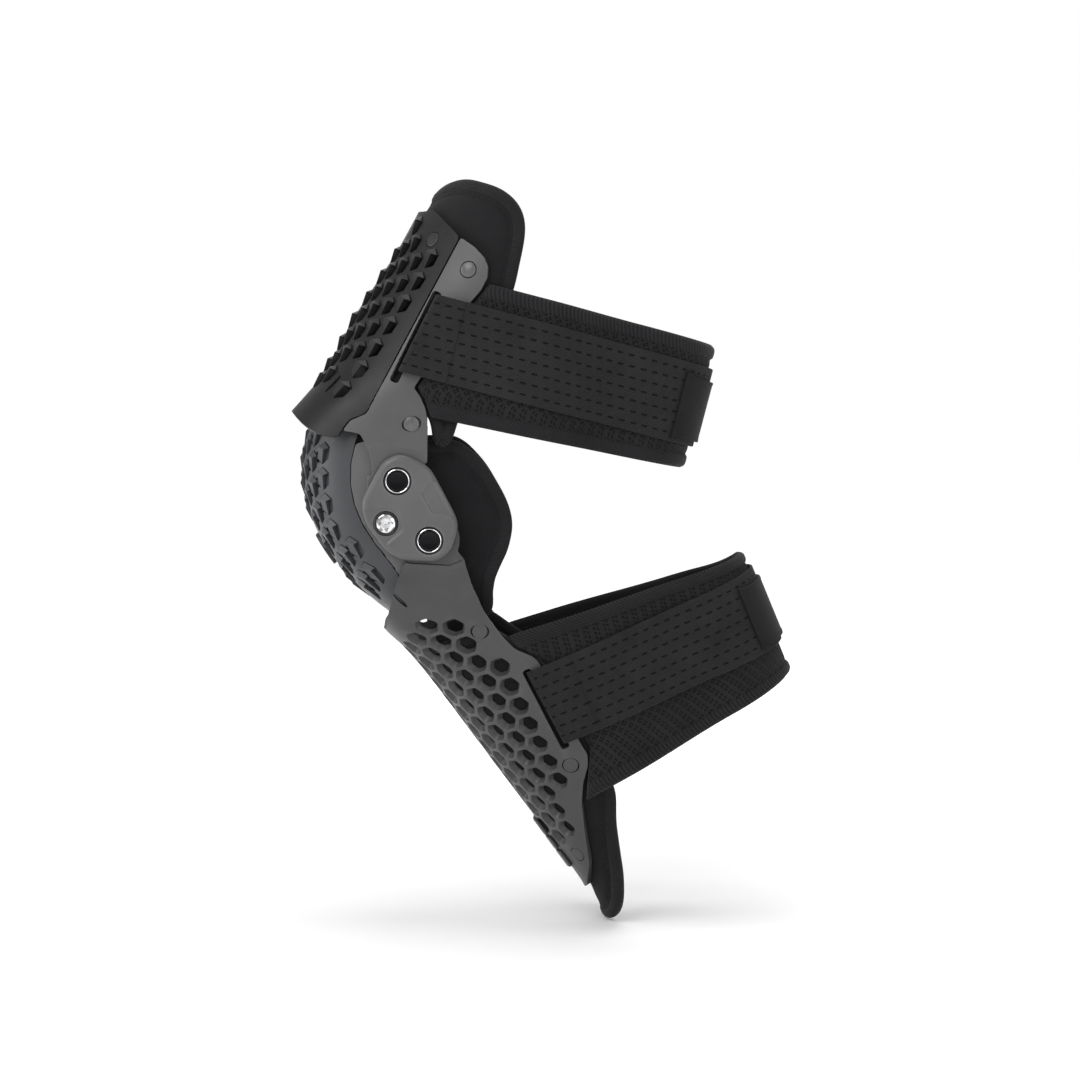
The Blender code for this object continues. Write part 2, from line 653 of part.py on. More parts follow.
# Raised bars low on the shin's front
bar_grid = surface_grid(shin_sections, shin_frame_axes, 0.3 + 1.8)
bar_columns = slice(section_points - 1, section_points + 6)
for number, (place, length) in enumerate(shin_bars, 1):
    (axis_y, axis_z), (front_y, front_z) = shin_frame_axes
    low, high = place - length / 2, place + length / 2
    corners = [(low, 75), (high, 75), (high, 50), (low, 50)]
    outline = [(s * axis_y + d * front_y, s * axis_z + d * front_z) for s, d in corners]
    name = f"shin_bar_{number}"
    bar = thicken(grid_object(name, bar_grid[:, bar_columns], parts), 1.8)
    apply_boolean(bar, as_cutter(outline_solid(name + "_outline", outline, -14, 14, cutters)), "INTERSECT")
    finish_piece(bar, shin_grey, shin)

# Straps: a soft pad round the back, the elastic over it and the hook tab at its outer rear end
for label, loop, body in (("thigh", thigh_loop, thigh), ("shin", shin_loop, shin)):
    low_rear, high_rear = loop["pad_rear"]
    low_front, high_front = loop["pad_starts"][0][0], loop["pad_starts"][-1][0]
    rows = []
    for up, start in loop["pad_starts"]:
        share = (up - low_front) / (high_front - low_front)
        rows.append((up, low_rear + (high_rear - low_rear) * share, loop_path(loop, start, pad_thickness)))
    band_piece(label + "_strap_pad", loop, rows, pad_thickness, pad_mesh, body)
    strap_outset = pad_thickness + 2 * gap + strap_thickness
    rows = []
    for up in np.linspace(-strap_width / 2, strap_width / 2, 3) + loop["strap_middle"]:
        rows.append((up, up, slot_lead(loop, loop_path(loop, 0.0, strap_outset), up)))
    band_piece(label + "_strap", loop, rows, strap_thickness, strap_elastic, body)
    tab_path = loop_path(loop, 0.0, strap_outset + gap + tab_thickness)
    tab_path = tab_path[turn_first + tab_first: turn_first + tab_last + 1]
    middle = loop["strap_middle"]
    rows = [(up, up, tab_path) for up in (middle - tab_half, middle + tab_half)]
    band_piece(label + "_strap_tab", loop, rows, tab_thickness, tab_black, body)
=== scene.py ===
import math

import bmesh
import bpy
import numpy as np
from mathutils import Matrix, Vector
from mathutils.geometry import delaunay_2d_cdt


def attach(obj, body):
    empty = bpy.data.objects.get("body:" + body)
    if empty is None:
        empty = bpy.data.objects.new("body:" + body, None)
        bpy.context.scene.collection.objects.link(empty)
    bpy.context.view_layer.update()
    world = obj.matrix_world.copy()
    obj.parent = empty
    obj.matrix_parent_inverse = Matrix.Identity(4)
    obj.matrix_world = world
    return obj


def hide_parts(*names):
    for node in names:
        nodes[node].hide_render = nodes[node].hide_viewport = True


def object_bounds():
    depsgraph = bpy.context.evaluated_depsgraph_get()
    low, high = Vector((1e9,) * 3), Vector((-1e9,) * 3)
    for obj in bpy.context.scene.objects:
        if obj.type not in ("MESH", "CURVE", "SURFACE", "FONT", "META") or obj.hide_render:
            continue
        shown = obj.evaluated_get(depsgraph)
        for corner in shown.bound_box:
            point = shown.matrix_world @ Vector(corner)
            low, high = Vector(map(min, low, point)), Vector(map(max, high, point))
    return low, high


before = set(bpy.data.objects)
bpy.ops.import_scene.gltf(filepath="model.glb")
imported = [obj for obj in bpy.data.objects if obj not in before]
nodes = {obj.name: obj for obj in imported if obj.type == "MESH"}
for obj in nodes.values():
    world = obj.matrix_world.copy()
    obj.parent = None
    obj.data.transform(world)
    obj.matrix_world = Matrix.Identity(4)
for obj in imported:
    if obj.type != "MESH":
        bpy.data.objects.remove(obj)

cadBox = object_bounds()
mm = 0.001
sides = (("right", 1), ("left", -1))
print("frame loaded:", len(nodes), "nodes")

# Hinge layout, sizes in millimetres, places as (y, z)
hinge = {
    "upper": (-9.5, 17.9), "lower": (9.5, -17.9), "stud": (-16.5, -7.6),
    "coverIn": 67.9, "coverOut": 72.4, "headUnder": 69.5, "shankEnd": 61.3,
    "teeth": 24, "pitchRadius": 20.26, "root": 1.9, "tip": 1.2, "toothShare": 0.42,
    "armHole": 4.3, "seatRadius": 8.5,
}
thighLean, shinLean = math.radians(28.0), math.radians(36.9)
thighAxes = ((math.sin(thighLean), math.cos(thighLean)), (-math.cos(thighLean), math.sin(thighLean)))
kneeAxes = ((0.0, 1.0), (-1.0, 0.0))
shinAxes = ((math.sin(shinLean), -math.cos(shinLean)), (-math.cos(shinLean), -math.sin(shinLean)))

# Cross-sections: place along the leg, half width, front, where the side turns straight, roundness
thighSections = [
    (6, 67.6, 97, 20, 3.8), (18, 67.6, 94, 20, 3.6), (32, 67.6, 90.5, 20, 3.4),
    (48, 67.6, 87, 19, 3.0), (64, 68.4, 86.5, 18, 2.55), (82, 69.6, 88, 17, 2.25),
    (106, 71.2, 85.6, 16, 2.15), (134, 73.0, 82.8, 16, 2.1), (165, 74.5, 82.4, 16, 2.1),
    (205, 75.5, 84, 16, 2.1),
]
kneeSections = [
    (-74, 52.0, 5.0, -30, 2.2), (-66, 57.0, 16.5, -22, 2.3), (-56, 60.5, 29.0, -12, 2.4),
    (-44, 62.6, 41.2, -4, 2.55), (-32, 63.8, 50.6, 2, 2.7), (-18, 63.8, 59.6, 4, 2.75),
    (-4, 63.8, 65.2, 5, 2.65), (12, 63.8, 69.0, 5, 2.6), (28, 63.8, 69.6, 5, 2.6),
    (44, 63.2, 66.6, 5, 2.7), (62, 60.5, 58.0, 5, 2.5),
]
shinSections = [
    (8, 67.6, 60.0, 22, 4.5), (30, 67.6, 60.5, 22, 4.4), (52, 67.4, 60.5, 18, 3.6),
    (64, 67.0, 58.2, 12, 3.0), (86, 66.2, 57.4, 3, 2.5), (120, 64.0, 57.5, 2, 2.3),
    (160, 60.0, 58.0, 2, 2.2), (200, 54.0, 58.2, 2, 2.1), (235, 49.0, 58.8, 2, 2.1),
    (258, 46.5, 59.2, 2, 2.1), (290, 44.0, 69.0, 2, 2.1),
]


# Surfaces: every hard shell and liner lies on one of three leg surfaces, addressed by
# (around, along): millimetres round from the front middle, and along the leg
def makeShell(sections, axes, blur=5.0, reach=170.0):
    table = np.array(sections, float)
    first = table[0] + (table[0] - table[1]) / (table[1, 0] - table[0, 0]) * 40
    last = table[-1] + (table[-1] - table[-2]) / (table[-1, 0] - table[-2, 0]) * 40
    table = np.vstack((first, table, last))
    along = np.arange(table[0, 0], table[-1, 0], 1.0)
    taps = np.arange(-15, 16)
    kernel = np.exp(-0.5 * (taps / blur) ** 2)
    kernel /= kernel.sum()
    rows = [np.interp(along, table[:, 0], table[:, k]) for k in range(1, 5)]
    columns = [np.convolve(row, kernel, "valid") for row in rows]
    along = along[15:-15]
    step = 0.5
    places = np.arange(0, reach, step)
    share = np.linspace(0, 1, 260)
    turn = math.pi / 2 * share * share * (3 - 2 * share)
    wide, deep = [], []
    for halfWidth, front, side, power in zip(*columns):
        x = np.append(halfWidth * np.sin(turn) ** (2 / power), halfWidth)
        d = np.append(side + (front - side) * np.cos(turn) ** (2 / power), side - 300)
        run = np.concatenate(([0], np.cumsum(np.hypot(np.diff(x), np.diff(d)))))
        wide.append(np.interp(places, run, x))
        deep.append(np.interp(places, run, d))
    made = {"axes": axes, "first": along[0], "step": step, "x": np.array(wide), "d": np.array(deep),
            "flip": 1.0}
    facing = normalAt(made, np.array([0.0]), np.array([60.0]))[0] @ (0, *axes[1])
    made["flip"] = math.copysign(1.0, facing)
    return made


def lookUp(table, row, column):
    row = np.clip(row, 0, table.shape[0] - 1.001)
    column = np.clip(column, 0, table.shape[1] - 1.001)
    r, c = row.astype(int), column.astype(int)
    fr, fc = row - r, column - c
    low = table[r, c] * (1 - fc) + table[r, c + 1] * fc
    high = table[r + 1, c] * (1 - fc) + table[r + 1, c + 1] * fc
    return low * (1 - fr) + high * fr


def basePoint(shell, around, along):
    row = along - shell["first"]
    column = np.abs(around) / shell["step"]
    x = lookUp(shell["x"], row, column) * np.sign(around)
    d = lookUp(shell["d"], row, column)
    (ay, az), (fy, fz) = shell["axes"]
    return np.stack((x, along * ay + d * fy, along * az + d * fz), axis=-1)


def normalAt(shell, around, along):
    acrossSlope = basePoint(shell, around + 0.8, along) - basePoint(shell, around - 0.8, along)
    alongSlope = basePoint(shell, around, along + 0.8) - basePoint(shell, around, along - 0.8)
    normal = np.cross(acrossSlope, alongSlope) * shell["flip"]
    return normal / np.linalg.norm(normal, axis=-1, keepdims=True)


def pointAt(shell, around, along, lift=0.0):
    around, along = np.asarray(around, float), np.asarray(along, float)
    lift = np.broadcast_to(lift, around.shape)[..., None]
    return basePoint(shell, around, along) + normalAt(shell, around, along) * lift


# (y, z) seen from the outer side to (around, along), and whether it lies on the surface
def unroll(shell, places):
    places = np.asarray(places, float)
    (ay, az), (fy, fz) = shell["axes"]
    along = places[:, 0] * ay + places[:, 1] * az
    depth = places[:, 0] * fy + places[:, 1] * fz
    around, onIt = [], []
    for a, d in zip(along, depth):
        row = shell["d"][int(np.clip(round(a - shell["first"]), 0, len(shell["d"]) - 1))]
        onIt.append(d <= row[0])
        around.append(np.interp(-d, -row, np.arange(len(row)) * shell["step"]))
    return np.stack((around, along), axis=1), np.array(onIt)


# Flat outline helpers: each corner becomes a short curve
def rounded(outline, radius, steps=4):
    made = []
    count = len(outline)
    for k in range(count):
        before, here, after = (np.array(outline[(k + j) % count], float) for j in (-1, 0, 1))
        cutIn = min(radius, 0.42 * np.linalg.norm(here - before))
        cutOut = min(radius, 0.42 * np.linalg.norm(after - here))
        start = here + (before - here) / np.linalg.norm(before - here) * cutIn
        stop = here + (after - here) / np.linalg.norm(after - here) * cutOut
        for t in np.linspace(0, 1, steps):
            made.append(start * (1 - t) ** 2 + 2 * here * t * (1 - t) + stop * t * t)
    return np.array(made)


def densified(outline, spacing, closed=True):
    outline = np.asarray(outline, float)
    ends = np.vstack((outline, outline[:1])) if closed else outline
    run = np.concatenate(([0], np.cumsum(np.linalg.norm(np.diff(ends, axis=0), axis=1))))
    keep = np.append(np.diff(run) > 1e-6, True)
    ends, run = ends[keep], run[keep]
    count = max(int(run[-1] / spacing), 3)
    at = np.linspace(0, run[-1], count + 1)
    if closed:
        at = at[:-1]
    return np.stack([np.interp(at, run, ends[:, k]) for k in range(ends.shape[1])], axis=1)


def inside(points, polygon):
    x, y = points[:, 0][:, None], points[:, 1][:, None]
    a, b = polygon, np.roll(polygon, -1, axis=0)
    crosses = (a[:, 1] > y) != (b[:, 1] > y)
    slope = (b[:, 0] - a[:, 0]) / np.where(np.abs(b[:, 1] - a[:, 1]) < 1e-12, 1e-12, b[:, 1] - a[:, 1])
    return ((crosses & (x < a[:, 0] + slope * (y - a[:, 1]))).sum(axis=1) % 2) == 1


def distanceTo(points, line, closed=True):
    a = line
    b = np.roll(line, -1, axis=0)
    if not closed:
        a, b = line[:-1], line[1:]
    best = np.full(len(points), 1e9)
    for p, q in zip(a, b):
        d = q - p
        t = np.clip(((points - p) @ d) / max(d @ d, 1e-12), 0, 1)
        best = np.minimum(best, np.hypot(*(points - p - t[:, None] * d).T))
    return best


# the line moved inwards, without the parts that would fold over
def insetLine(line, amount):
    after, before = np.roll(line, -1, axis=0), np.roll(line, 1, axis=0)
    along = after - before
    along /= np.linalg.norm(along, axis=1, keepdims=True)
    area = (line[:, 0] * after[:, 1] - after[:, 0] * line[:, 1]).sum()
    across = np.stack((-along[:, 1], along[:, 0]), axis=1) * math.copysign(1.0, area)
    moved = line + across * amount
    keep = distanceTo(moved, line) > amount * 0.96
    return moved[keep]


# a closed line with its corners relaxed
def eased(line, passes=6):
    for _ in range(passes):
        line = (np.roll(line, 1, axis=0) + 2 * line + np.roll(line, -1, axis=0)) / 4
    return line


def smoothStep(value, low, high):
    t = np.clip((value - low) / (high - low), 0, 1)
    return t * t * (3 - 2 * t)


# a side outline whose front runs past the middle, unrolled and mirrored to both sides
def wholeOutline(shell, outline, radius=2.0, spacing=1.6):
    line = densified(rounded(outline, radius), spacing)
    flat, onIt = unroll(shell, line)
    starts = [k for k in range(len(onIt)) if onIt[k] and not onIt[k - 1]]
    runs = []
    for start in starts:
        k = start
        run = []
        while onIt[k % len(onIt)] and len(run) < len(onIt):
            run.append(flat[k % len(onIt)])
            k += 1
        runs.append(run)
    half = np.array(max(runs, key=len))
    half[0, 0] = half[-1, 0] = 0.0
    return densified(np.vstack((half, half[-2:0:-1] * (-1, 1))), spacing)


def halfOutline(shell, outline, radius=2.0, spacing=1.6):
    return unroll(shell, densified(rounded(outline, radius), spacing))[0]


# Meshes
def addObject(name, mesh):
    made = bpy.data.objects.new(name, mesh)
    bpy.context.scene.collection.objects.link(made)
    return made


# one flat coordinate for each point, in millimetres
def setFlat(mesh, flat):
    layer = mesh.uv_layers.new(name="flat")
    index = np.empty(len(mesh.loops), int)
    mesh.loops.foreach_get("vertex_index", index)
    layer.data.foreach_set("uv", flat[index].astype(np.float32).ravel())


def faceOut(mesh, weld=False):
    shape = bmesh.new()
    shape.from_mesh(mesh)
    if weld:
        bmesh.ops.remove_doubles(shape, verts=shape.verts, dist=1e-6)
    bmesh.ops.recalc_face_normals(shape, faces=shape.faces)
    shape.to_mesh(mesh)
    shape.free()


# a triangle mesh of the area inside an outline and outside its holes
def region(outline, holes=(), spacing=2.5, extra=()):
    low, high = outline.min(axis=0), outline.max(axis=0)
    xs = np.arange(low[0], high[0], spacing)
    ys = np.arange(low[1], high[1], spacing * 0.87)
    lattice = np.array([(x + (spacing / 2 if k % 2 else 0), y) for k, y in enumerate(ys) for x in xs])
    lattice = lattice[inside(lattice, outline)]
    lattice = lattice[distanceTo(lattice, outline) > spacing * 0.5]
    for line in extra:
        lattice = lattice[distanceTo(lattice, line, False) > spacing * 0.35]
    for hole in holes:
        middle, reach = hole.mean(axis=0), np.ptp(hole, axis=0).max() + spacing
        near = np.linalg.norm(lattice - middle, axis=1) < reach
        bad = np.zeros(len(lattice), bool)
        if near.any():
            local = lattice[near]
            bad[near] = inside(local, hole) | (distanceTo(local, hole) < spacing * 0.4)
        lattice = lattice[~bad]
    points = [outline, *holes, *extra, lattice]
    edges, count = [], 0
    for loop in (outline, *holes):
        edges += [(count + k, count + (k + 1) % len(loop)) for k in range(len(loop))]
        count += len(loop)
    flat = [Vector(p) for p in np.vstack(points)]
    made = delaunay_2d_cdt(flat, edges, [], 0, 1e-5)
    verts, faces = np.array([tuple(v) for v in made[0]]), np.array([f for f in made[2] if len(f) == 3])
    middle = verts[faces].mean(axis=1)
    keep = inside(middle, outline)
    for hole in holes:
        near = np.linalg.norm(middle - hole.mean(axis=0), axis=1) < np.ptp(hole, axis=0).max()
        cut = np.zeros(len(middle), bool)
        if near.any():
            cut[near] = inside(middle[near], hole)
        keep &= ~cut
    return verts, faces[keep]


# lines of extra points, without those outside the outline or near a hole
def clearOf(lines, outline, holes, margin=0.6):
    made = []
    for line in lines:
        keep = inside(line, outline) & (distanceTo(line, outline) > margin)
        for hole in holes:
            keep &= ~inside(line, hole) & (distanceTo(line, hole) > margin)
        if keep.sum() > 2:
            made.append(line[keep])
    return made


# a closed solid between two matching sets of points
def thickSheet(name, flat, faces, outer, inner, flip=False):
    if flip:
        faces = faces[:, ::-1]
    count = len(outer)
    ends = {}
    for a, b, c in faces:
        for edge in ((a, b), (b, c), (c, a)):
            ends[edge] = True
    walls = [(b, a, a + count, b + count) for a, b in ends if (b, a) not in ends]
    allFaces = faces.tolist() + (faces[:, ::-1] + count).tolist() + walls
    mesh = bpy.data.meshes.new(name)
    mesh.from_pydata((np.vstack((outer, inner)) * mm).tolist(), [], allFaces)
    setFlat(mesh, np.vstack((flat, flat)))
    mesh.shade_smooth()
    return addObject(name, mesh)


def softEdges(piece, width, segments=2, angle=35):
    bevel = piece.modifiers.new("Edges", "BEVEL")
    bevel.width = width * mm
    bevel.segments = segments
    bevel.limit_method = "ANGLE"
    bevel.angle_limit = math.radians(angle)
    bevel.harden_normals = True
    return piece


def applyModifiers(piece):
    graph = bpy.context.evaluated_depsgraph_get()
    mesh = bpy.data.meshes.new_from_object(piece.evaluated_get(graph))
    piece.modifiers.clear()
    piece.data = mesh
    return piece


# several meshes as one object, keeping materials and coordinates
def joined(name, pieces):
    bpy.ops.object.select_all(action="DESELECT")
    for piece in pieces:
        piece.select_set(True)
    bpy.context.view_layer.objects.active = pieces[0]
    bpy.ops.object.join()
    pieces[0].name = name
    return pieces[0]


def shellPiece(name, shell, outline, holes, thickness, lift=0.0, spacing=2.6, edge=0.5, shape=None,
               extra=()):
    flat, faces = region(outline, holes, spacing, clearOf(extra, outline, holes))
    raised = np.full(len(flat), lift) if shape is None else lift + shape(flat)
    outer = pointAt(shell, flat[:, 0], flat[:, 1], raised)
    inner = pointAt(shell, flat[:, 0], flat[:, 1], lift - thickness)
    piece = thickSheet(name, flat, faces, outer, inner, shell["flip"] < 0)
    return softEdges(piece, edge)


# a profile of (radius, height) turned about an axis
def turnedPiece(name, profile, at, axis, steps=48):
    mesh = bpy.data.meshes.new(name)
    angles = np.arange(steps) * 2 * math.pi / steps
    rows = []
    for radius, height in profile:
        level = np.full(steps, height)
        rows.append(np.stack((np.cos(angles) * radius, np.sin(angles) * radius, level), axis=1))
    faces = []
    for row in range(len(profile) - 1):
        for k in range(steps):
            n = (k + 1) % steps
            faces.append((row * steps + k, (row + 1) * steps + k, (row + 1) * steps + n,
                          row * steps + n))
    mesh.from_pydata((np.vstack(rows) * mm).tolist(), [], faces)
    faceOut(mesh, True)
    mesh.shade_smooth()
    mesh.set_sharp_from_angle(angle=math.radians(38))
    made = addObject(name, mesh)
    turned = Vector(axis).to_track_quat("Z", "Y").to_matrix().to_4x4()
    made.matrix_world = Matrix.Translation(Vector(at) * mm) @ turned
    return made


def place(piece, body, slot, look, *replaced):
    piece.data.materials.clear()
    piece.data.materials.append(look)
    if replaced:
        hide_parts(*replaced)
    if body:
        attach(piece, body)
    return piece


# Finishes
def startFinish(name, colour, rough, metallic=0.0, **sockets):
    made = bpy.data.materials.new(name)
    made.use_nodes = True
    shader = made.node_tree.nodes["Principled BSDF"]
    shader.inputs["Base Color"].default_value = (*colour, 1)
    shader.inputs["Roughness"].default_value = rough
    shader.inputs["Metallic"].default_value = metallic
    for socket, value in sockets.items():
        shader.inputs[socket.replace("_", " ")].default_value = value
    return made, made.node_tree, shader


def maths(tree, operation, a, b=None, c=None, clamp=False):
    node = tree.nodes.new("ShaderNodeMath")
    node.operation = operation
    node.use_clamp = clamp
    for socket, value in zip(node.inputs, (a, b, c)):
        if value is None:
            continue
        if isinstance(value, (int, float)):
            socket.default_value = value
        else:
            tree.links.new(value, socket)
    return node.outputs[0]


def ranged(tree, value, low, high, toLow, toHigh, smooth=False):
    node = tree.nodes.new("ShaderNodeMapRange")
    if smooth:
        node.interpolation_type = "SMOOTHSTEP"
    tree.links.new(value, node.inputs["Value"])
    for socket, number in (("From Min", low), ("From Max", high), ("To Min", toLow), ("To Max", toHigh)):
        node.inputs[socket].default_value = number
    return node.outputs["Result"]


def noiseOf(tree, scale, detail=3.0, rough=0.5, stretch=None, source="Object"):
    at = tree.nodes.new("ShaderNodeTexCoord").outputs[source]
    if stretch:
        mapping = tree.nodes.new("ShaderNodeMapping")
        mapping.inputs["Scale"].default_value = stretch
        tree.links.new(at, mapping.inputs["Vector"])
        at = mapping.outputs["Vector"]
    node = tree.nodes.new("ShaderNodeTexNoise")
    node.inputs["Scale"].default_value = scale
    node.inputs["Detail"].default_value = detail
    node.inputs["Roughness"].default_value = rough
    tree.links.new(at, node.inputs["Vector"])
    return node.outputs["Fac"]


def mixColour(tree, factor, first, second):
    node = tree.nodes.new("ShaderNodeMix")
    node.data_type = "RGBA"
    tree.links.new(factor, node.inputs[0])
    for socket, value in ((node.inputs[6], first), (node.inputs[7], second)):
        if isinstance(value, tuple):
            socket.default_value = (*value, 1)
        else:
            tree.links.new(value, socket)
    return node.outputs[2]


def bumpTo(tree, shader, height, strength, distance, under=None):
    node = tree.nodes.new("ShaderNodeBump")
    node.inputs["Strength"].default_value = strength
    node.inputs["Distance"].default_value = distance * mm
    tree.links.new(height, node.inputs["Height"])
    if under is not None:
        tree.links.new(under, node.inputs["Normal"])
    tree.links.new(node.outputs["Normal"], shader.inputs["Normal"])
    return node.outputs["Normal"]


def scaled(colour, factor):
    return tuple(min(c * factor, 1.0) for c in colour)


# satin moulded plastic: fine texture, cloudy variation, lighter edges (partly rubbed wear, partly a
# painted highlight), optional ribbed bands
def mouldedPlastic(name, colour, rough, grain=0.10, wearAndEdgeHighlight=0.35, ribs=(), specular=0.5):
    made, tree, shader = startFinish(name, colour, rough)
    shader.inputs["Specular IOR Level"].default_value = specular
    cloud = noiseOf(tree, 22, 4, 0.6)
    fine = noiseOf(tree, 1500, 2, 0.5)
    tone = mixColour(tree, ranged(tree, cloud, 0.3, 0.7, 0, 1), scaled(colour, 0.86),
                     scaled(colour, 1.14))
    # convex edges lightened towards twice the colour: partly rubbed wear, partly a painted highlight
    # along the edges
    pointy = tree.nodes.new("ShaderNodeNewGeometry").outputs["Pointiness"]
    rubAndEdgeHighlight = maths(tree, "MULTIPLY", ranged(tree, pointy, 0.515, 0.60, 0, wearAndEdgeHighlight),
                ranged(tree, cloud, 0.35, 0.6, 0.4, 1))
    tone = mixColour(tree, rubAndEdgeHighlight, tone, scaled(colour, 2.1))
    tree.links.new(tone, shader.inputs["Base Color"])
    worn = ranged(tree, noiseOf(tree, 60, 5, 0.7), 0.3, 0.7, rough - 0.05, rough + 0.07)
    tree.links.new(worn, shader.inputs["Roughness"])
    normal = bumpTo(tree, shader, fine, grain, 0.25)
    if ribs:
        u, v = flatCoords(tree)
        around = maths(tree, "ABSOLUTE", u)
        total = None
        for width, low, high, pitch in ribs:
            ripple = maths(tree, "SINE", maths(tree, "MULTIPLY", v, 2 * math.pi / pitch))
            within = maths(tree, "MULTIPLY", ranged(tree, v, low, low + 2, 0, 1),
                           ranged(tree, v, high - 2, high, 1, 0))
            mask = maths(tree, "MULTIPLY", ranged(tree, around, width - 3, width, 1, 0), within)
            band = maths(tree, "MULTIPLY", ripple, mask)
            total = band if total is None else maths(tree, "ADD", total, band)
        bumpTo(tree, shader, total, 0.9, 0.22, normal)
    return made


def metal(name, colour, rough, brushed=0.0, blotch=0.0):
    made, tree, shader = startFinish(name, colour, rough, 1.0)
    cloud = noiseOf(tree, 120, 3, 0.6)
    tree.links.new(ranged(tree, cloud, 0.35, 0.65, max(rough - 0.05, 0.03), rough + 0.12),
                   shader.inputs["Roughness"])
    tone = mixColour(tree, ranged(tree, cloud, 0.3, 0.7, 0, 1), scaled(colour, 0.82), colour)
    if blotch:
        tone = mixColour(tree, ranged(tree, noiseOf(tree, 420, 2, 0.4), 0.5, 0.56, 0, blotch), tone,
                         scaled(colour, 0.12))
    tree.links.new(tone, shader.inputs["Base Color"])
    lines = noiseOf(tree, 300, 2, 0.5, (1, 1, 12))
    bumpTo(tree, shader, lines, brushed + 0.03, 0.1)
    return made


def flatCoords(tree):
    flat = tree.nodes.new("ShaderNodeUVMap")
    flat.uv_map = "flat"
    parts = tree.nodes.new("ShaderNodeSeparateXYZ")
    tree.links.new(flat.outputs["UV"], parts.inputs[0])
    return parts.outputs["X"], parts.outputs["Y"]


# 0 to 1 and back once each pitch
def wave(tree, value, pitch, phase=0.0):
    turn = maths(tree, "MULTIPLY_ADD", value, 2 * math.pi / pitch, phase)
    return maths(tree, "MULTIPLY_ADD", maths(tree, "SINE", turn), 0.5, 0.5)


def fabricBase(name, colour, sheen=0.05):
    made, tree, shader = startFinish(name, colour, 0.9)
    shader.inputs["Sheen Weight"].default_value = sheen
    shader.inputs["Sheen Roughness"].default_value = 0.45
    shader.inputs["Specular IOR Level"].default_value = 0.12
    return made, tree, shader


# colour follows the height: where it is relief, darker in the hollows and lighter on the raised threads,
# a painted shade and painted highlight
def fabricTone(tree, shader, colour, height, low=0.6, high=1.5, darkMask=None):
    cloud = ranged(tree, noiseOf(tree, 45, 4, 0.6), 0.3, 0.7, 0, 1)
    base = mixColour(tree, cloud, scaled(colour, 0.85), scaled(colour, 1.15))
    node = tree.nodes.new("ShaderNodeMix")
    node.data_type = "RGBA"
    node.blend_type = "MULTIPLY"
    node.inputs[0].default_value = 1.0
    tree.links.new(base, node.inputs[6])
    tree.links.new(ranged(tree, height, 0, 1, low, high), node.inputs[7])
    tone = node.outputs[2]
    if darkMask is not None:
        tone = mixColour(tree, darkMask, tone, scaled(colour, 0.12))
    tree.links.new(tone, shader.inputs["Base Color"])
    tree.links.new(ranged(tree, height, 0, 1, 0.97, 0.78), shader.inputs["Roughness"])


# the liner's jersey face over foam: diagonal rows of small loops
def knit(name, colour, pitch=0.9):
    made, tree, shader = fabricBase(name, colour)
    u, v = flatCoords(tree)
    diagonal = maths(tree, "ADD", u, maths(tree, "MULTIPLY", v, 0.9))
    loops = maths(tree, "MULTIPLY", wave(tree, diagonal, pitch), wave(tree, v, pitch * 0.8))
    fuzz = noiseOf(tree, 2600, 2, 0.6)
    height = maths(tree, "ADD", maths(tree, "MULTIPLY", loops, 0.7), maths(tree, "MULTIPLY", fuzz, 0.4))
    fabricTone(tree, shader, colour, height, 0.65, 1.35)
    bumpTo(tree, shader, height, 0.5, 0.35)
    return made


# smooth skin with only a very fine grain
def neoprene(name, colour):
    made, tree, shader = fabricBase(name, colour, 0.06)
    fuzz = noiseOf(tree, 1900, 3, 0.6)
    fabricTone(tree, shader, colour, fuzz, 0.8, 1.2)
    bumpTo(tree, shader, fuzz, 0.35, 0.2)
    return made


# ribbed tape sewn over an edge: ribs run across the tape
def binding(name, colour, pitch=1.15, slant=0.35):
    made, tree, shader = fabricBase(name, colour, 0.06)
    u, v = flatCoords(tree)
    ribs = wave(tree, maths(tree, "MULTIPLY_ADD", v, slant, u), pitch)
    fuzz = noiseOf(tree, 2300, 2, 0.6)
    height = maths(tree, "ADD", maths(tree, "MULTIPLY", ribs, 0.75), maths(tree, "MULTIPLY", fuzz, 0.3))
    fabricTone(tree, shader, colour, height, 0.6, 1.4)
    bumpTo(tree, shader, height, 0.6, 0.4)
    return made


# woven elastic: fine lengthwise ribs, staggered rows of short dark dashes, plain selvedges
def elasticWeb(name, colour, half, rowPitch=6.6, dashPitch=7.4, dash=0.52):
    made, tree, shader = fabricBase(name, colour, 0.03)
    u, v = flatCoords(tree)
    ribs = wave(tree, v, 0.95)
    picks = wave(tree, u, 0.8)
    row = maths(tree, "DIVIDE", v, rowPitch)
    nearest = maths(tree, "ROUND", row)
    offRow = maths(tree, "ABSOLUTE", maths(tree, "SUBTRACT", row, nearest))
    onRow = ranged(tree, offRow, 0.07, 0.11, 1, 0)
    stagger = maths(tree, "MULTIPLY", nearest, 0.45)
    along = maths(tree, "FRACT", maths(tree, "ADD", maths(tree, "DIVIDE", u, dashPitch),
                                       maths(tree, "ADD", stagger, 20.0)))
    onDash = maths(tree, "MULTIPLY", ranged(tree, along, 0.03, 0.08, 0, 1),
                   ranged(tree, along, dash, dash + 0.06, 1, 0))
    marks = maths(tree, "MULTIPLY", onRow, onDash)
    beside = ranged(tree, maths(tree, "ABSOLUTE", v), half - 4.5, half - 3.8, 1, 0)
    marks = maths(tree, "MULTIPLY", marks, beside)
    fuzz = noiseOf(tree, 2400, 2, 0.6)
    height = maths(tree, "ADD", maths(tree, "MULTIPLY", ribs, 0.55),
                   maths(tree, "MULTIPLY_ADD", picks, 0.18, maths(tree, "MULTIPLY", fuzz, 0.3)))
    fabricTone(tree, shader, colour, height, 0.6, 1.35, maths(tree, "MULTIPLY", marks, 0.92))
    deep = maths(tree, "SUBTRACT", height, maths(tree, "MULTIPLY", marks, 1.6))
    bumpTo(tree, shader, deep, 0.7, 0.38)
    return made


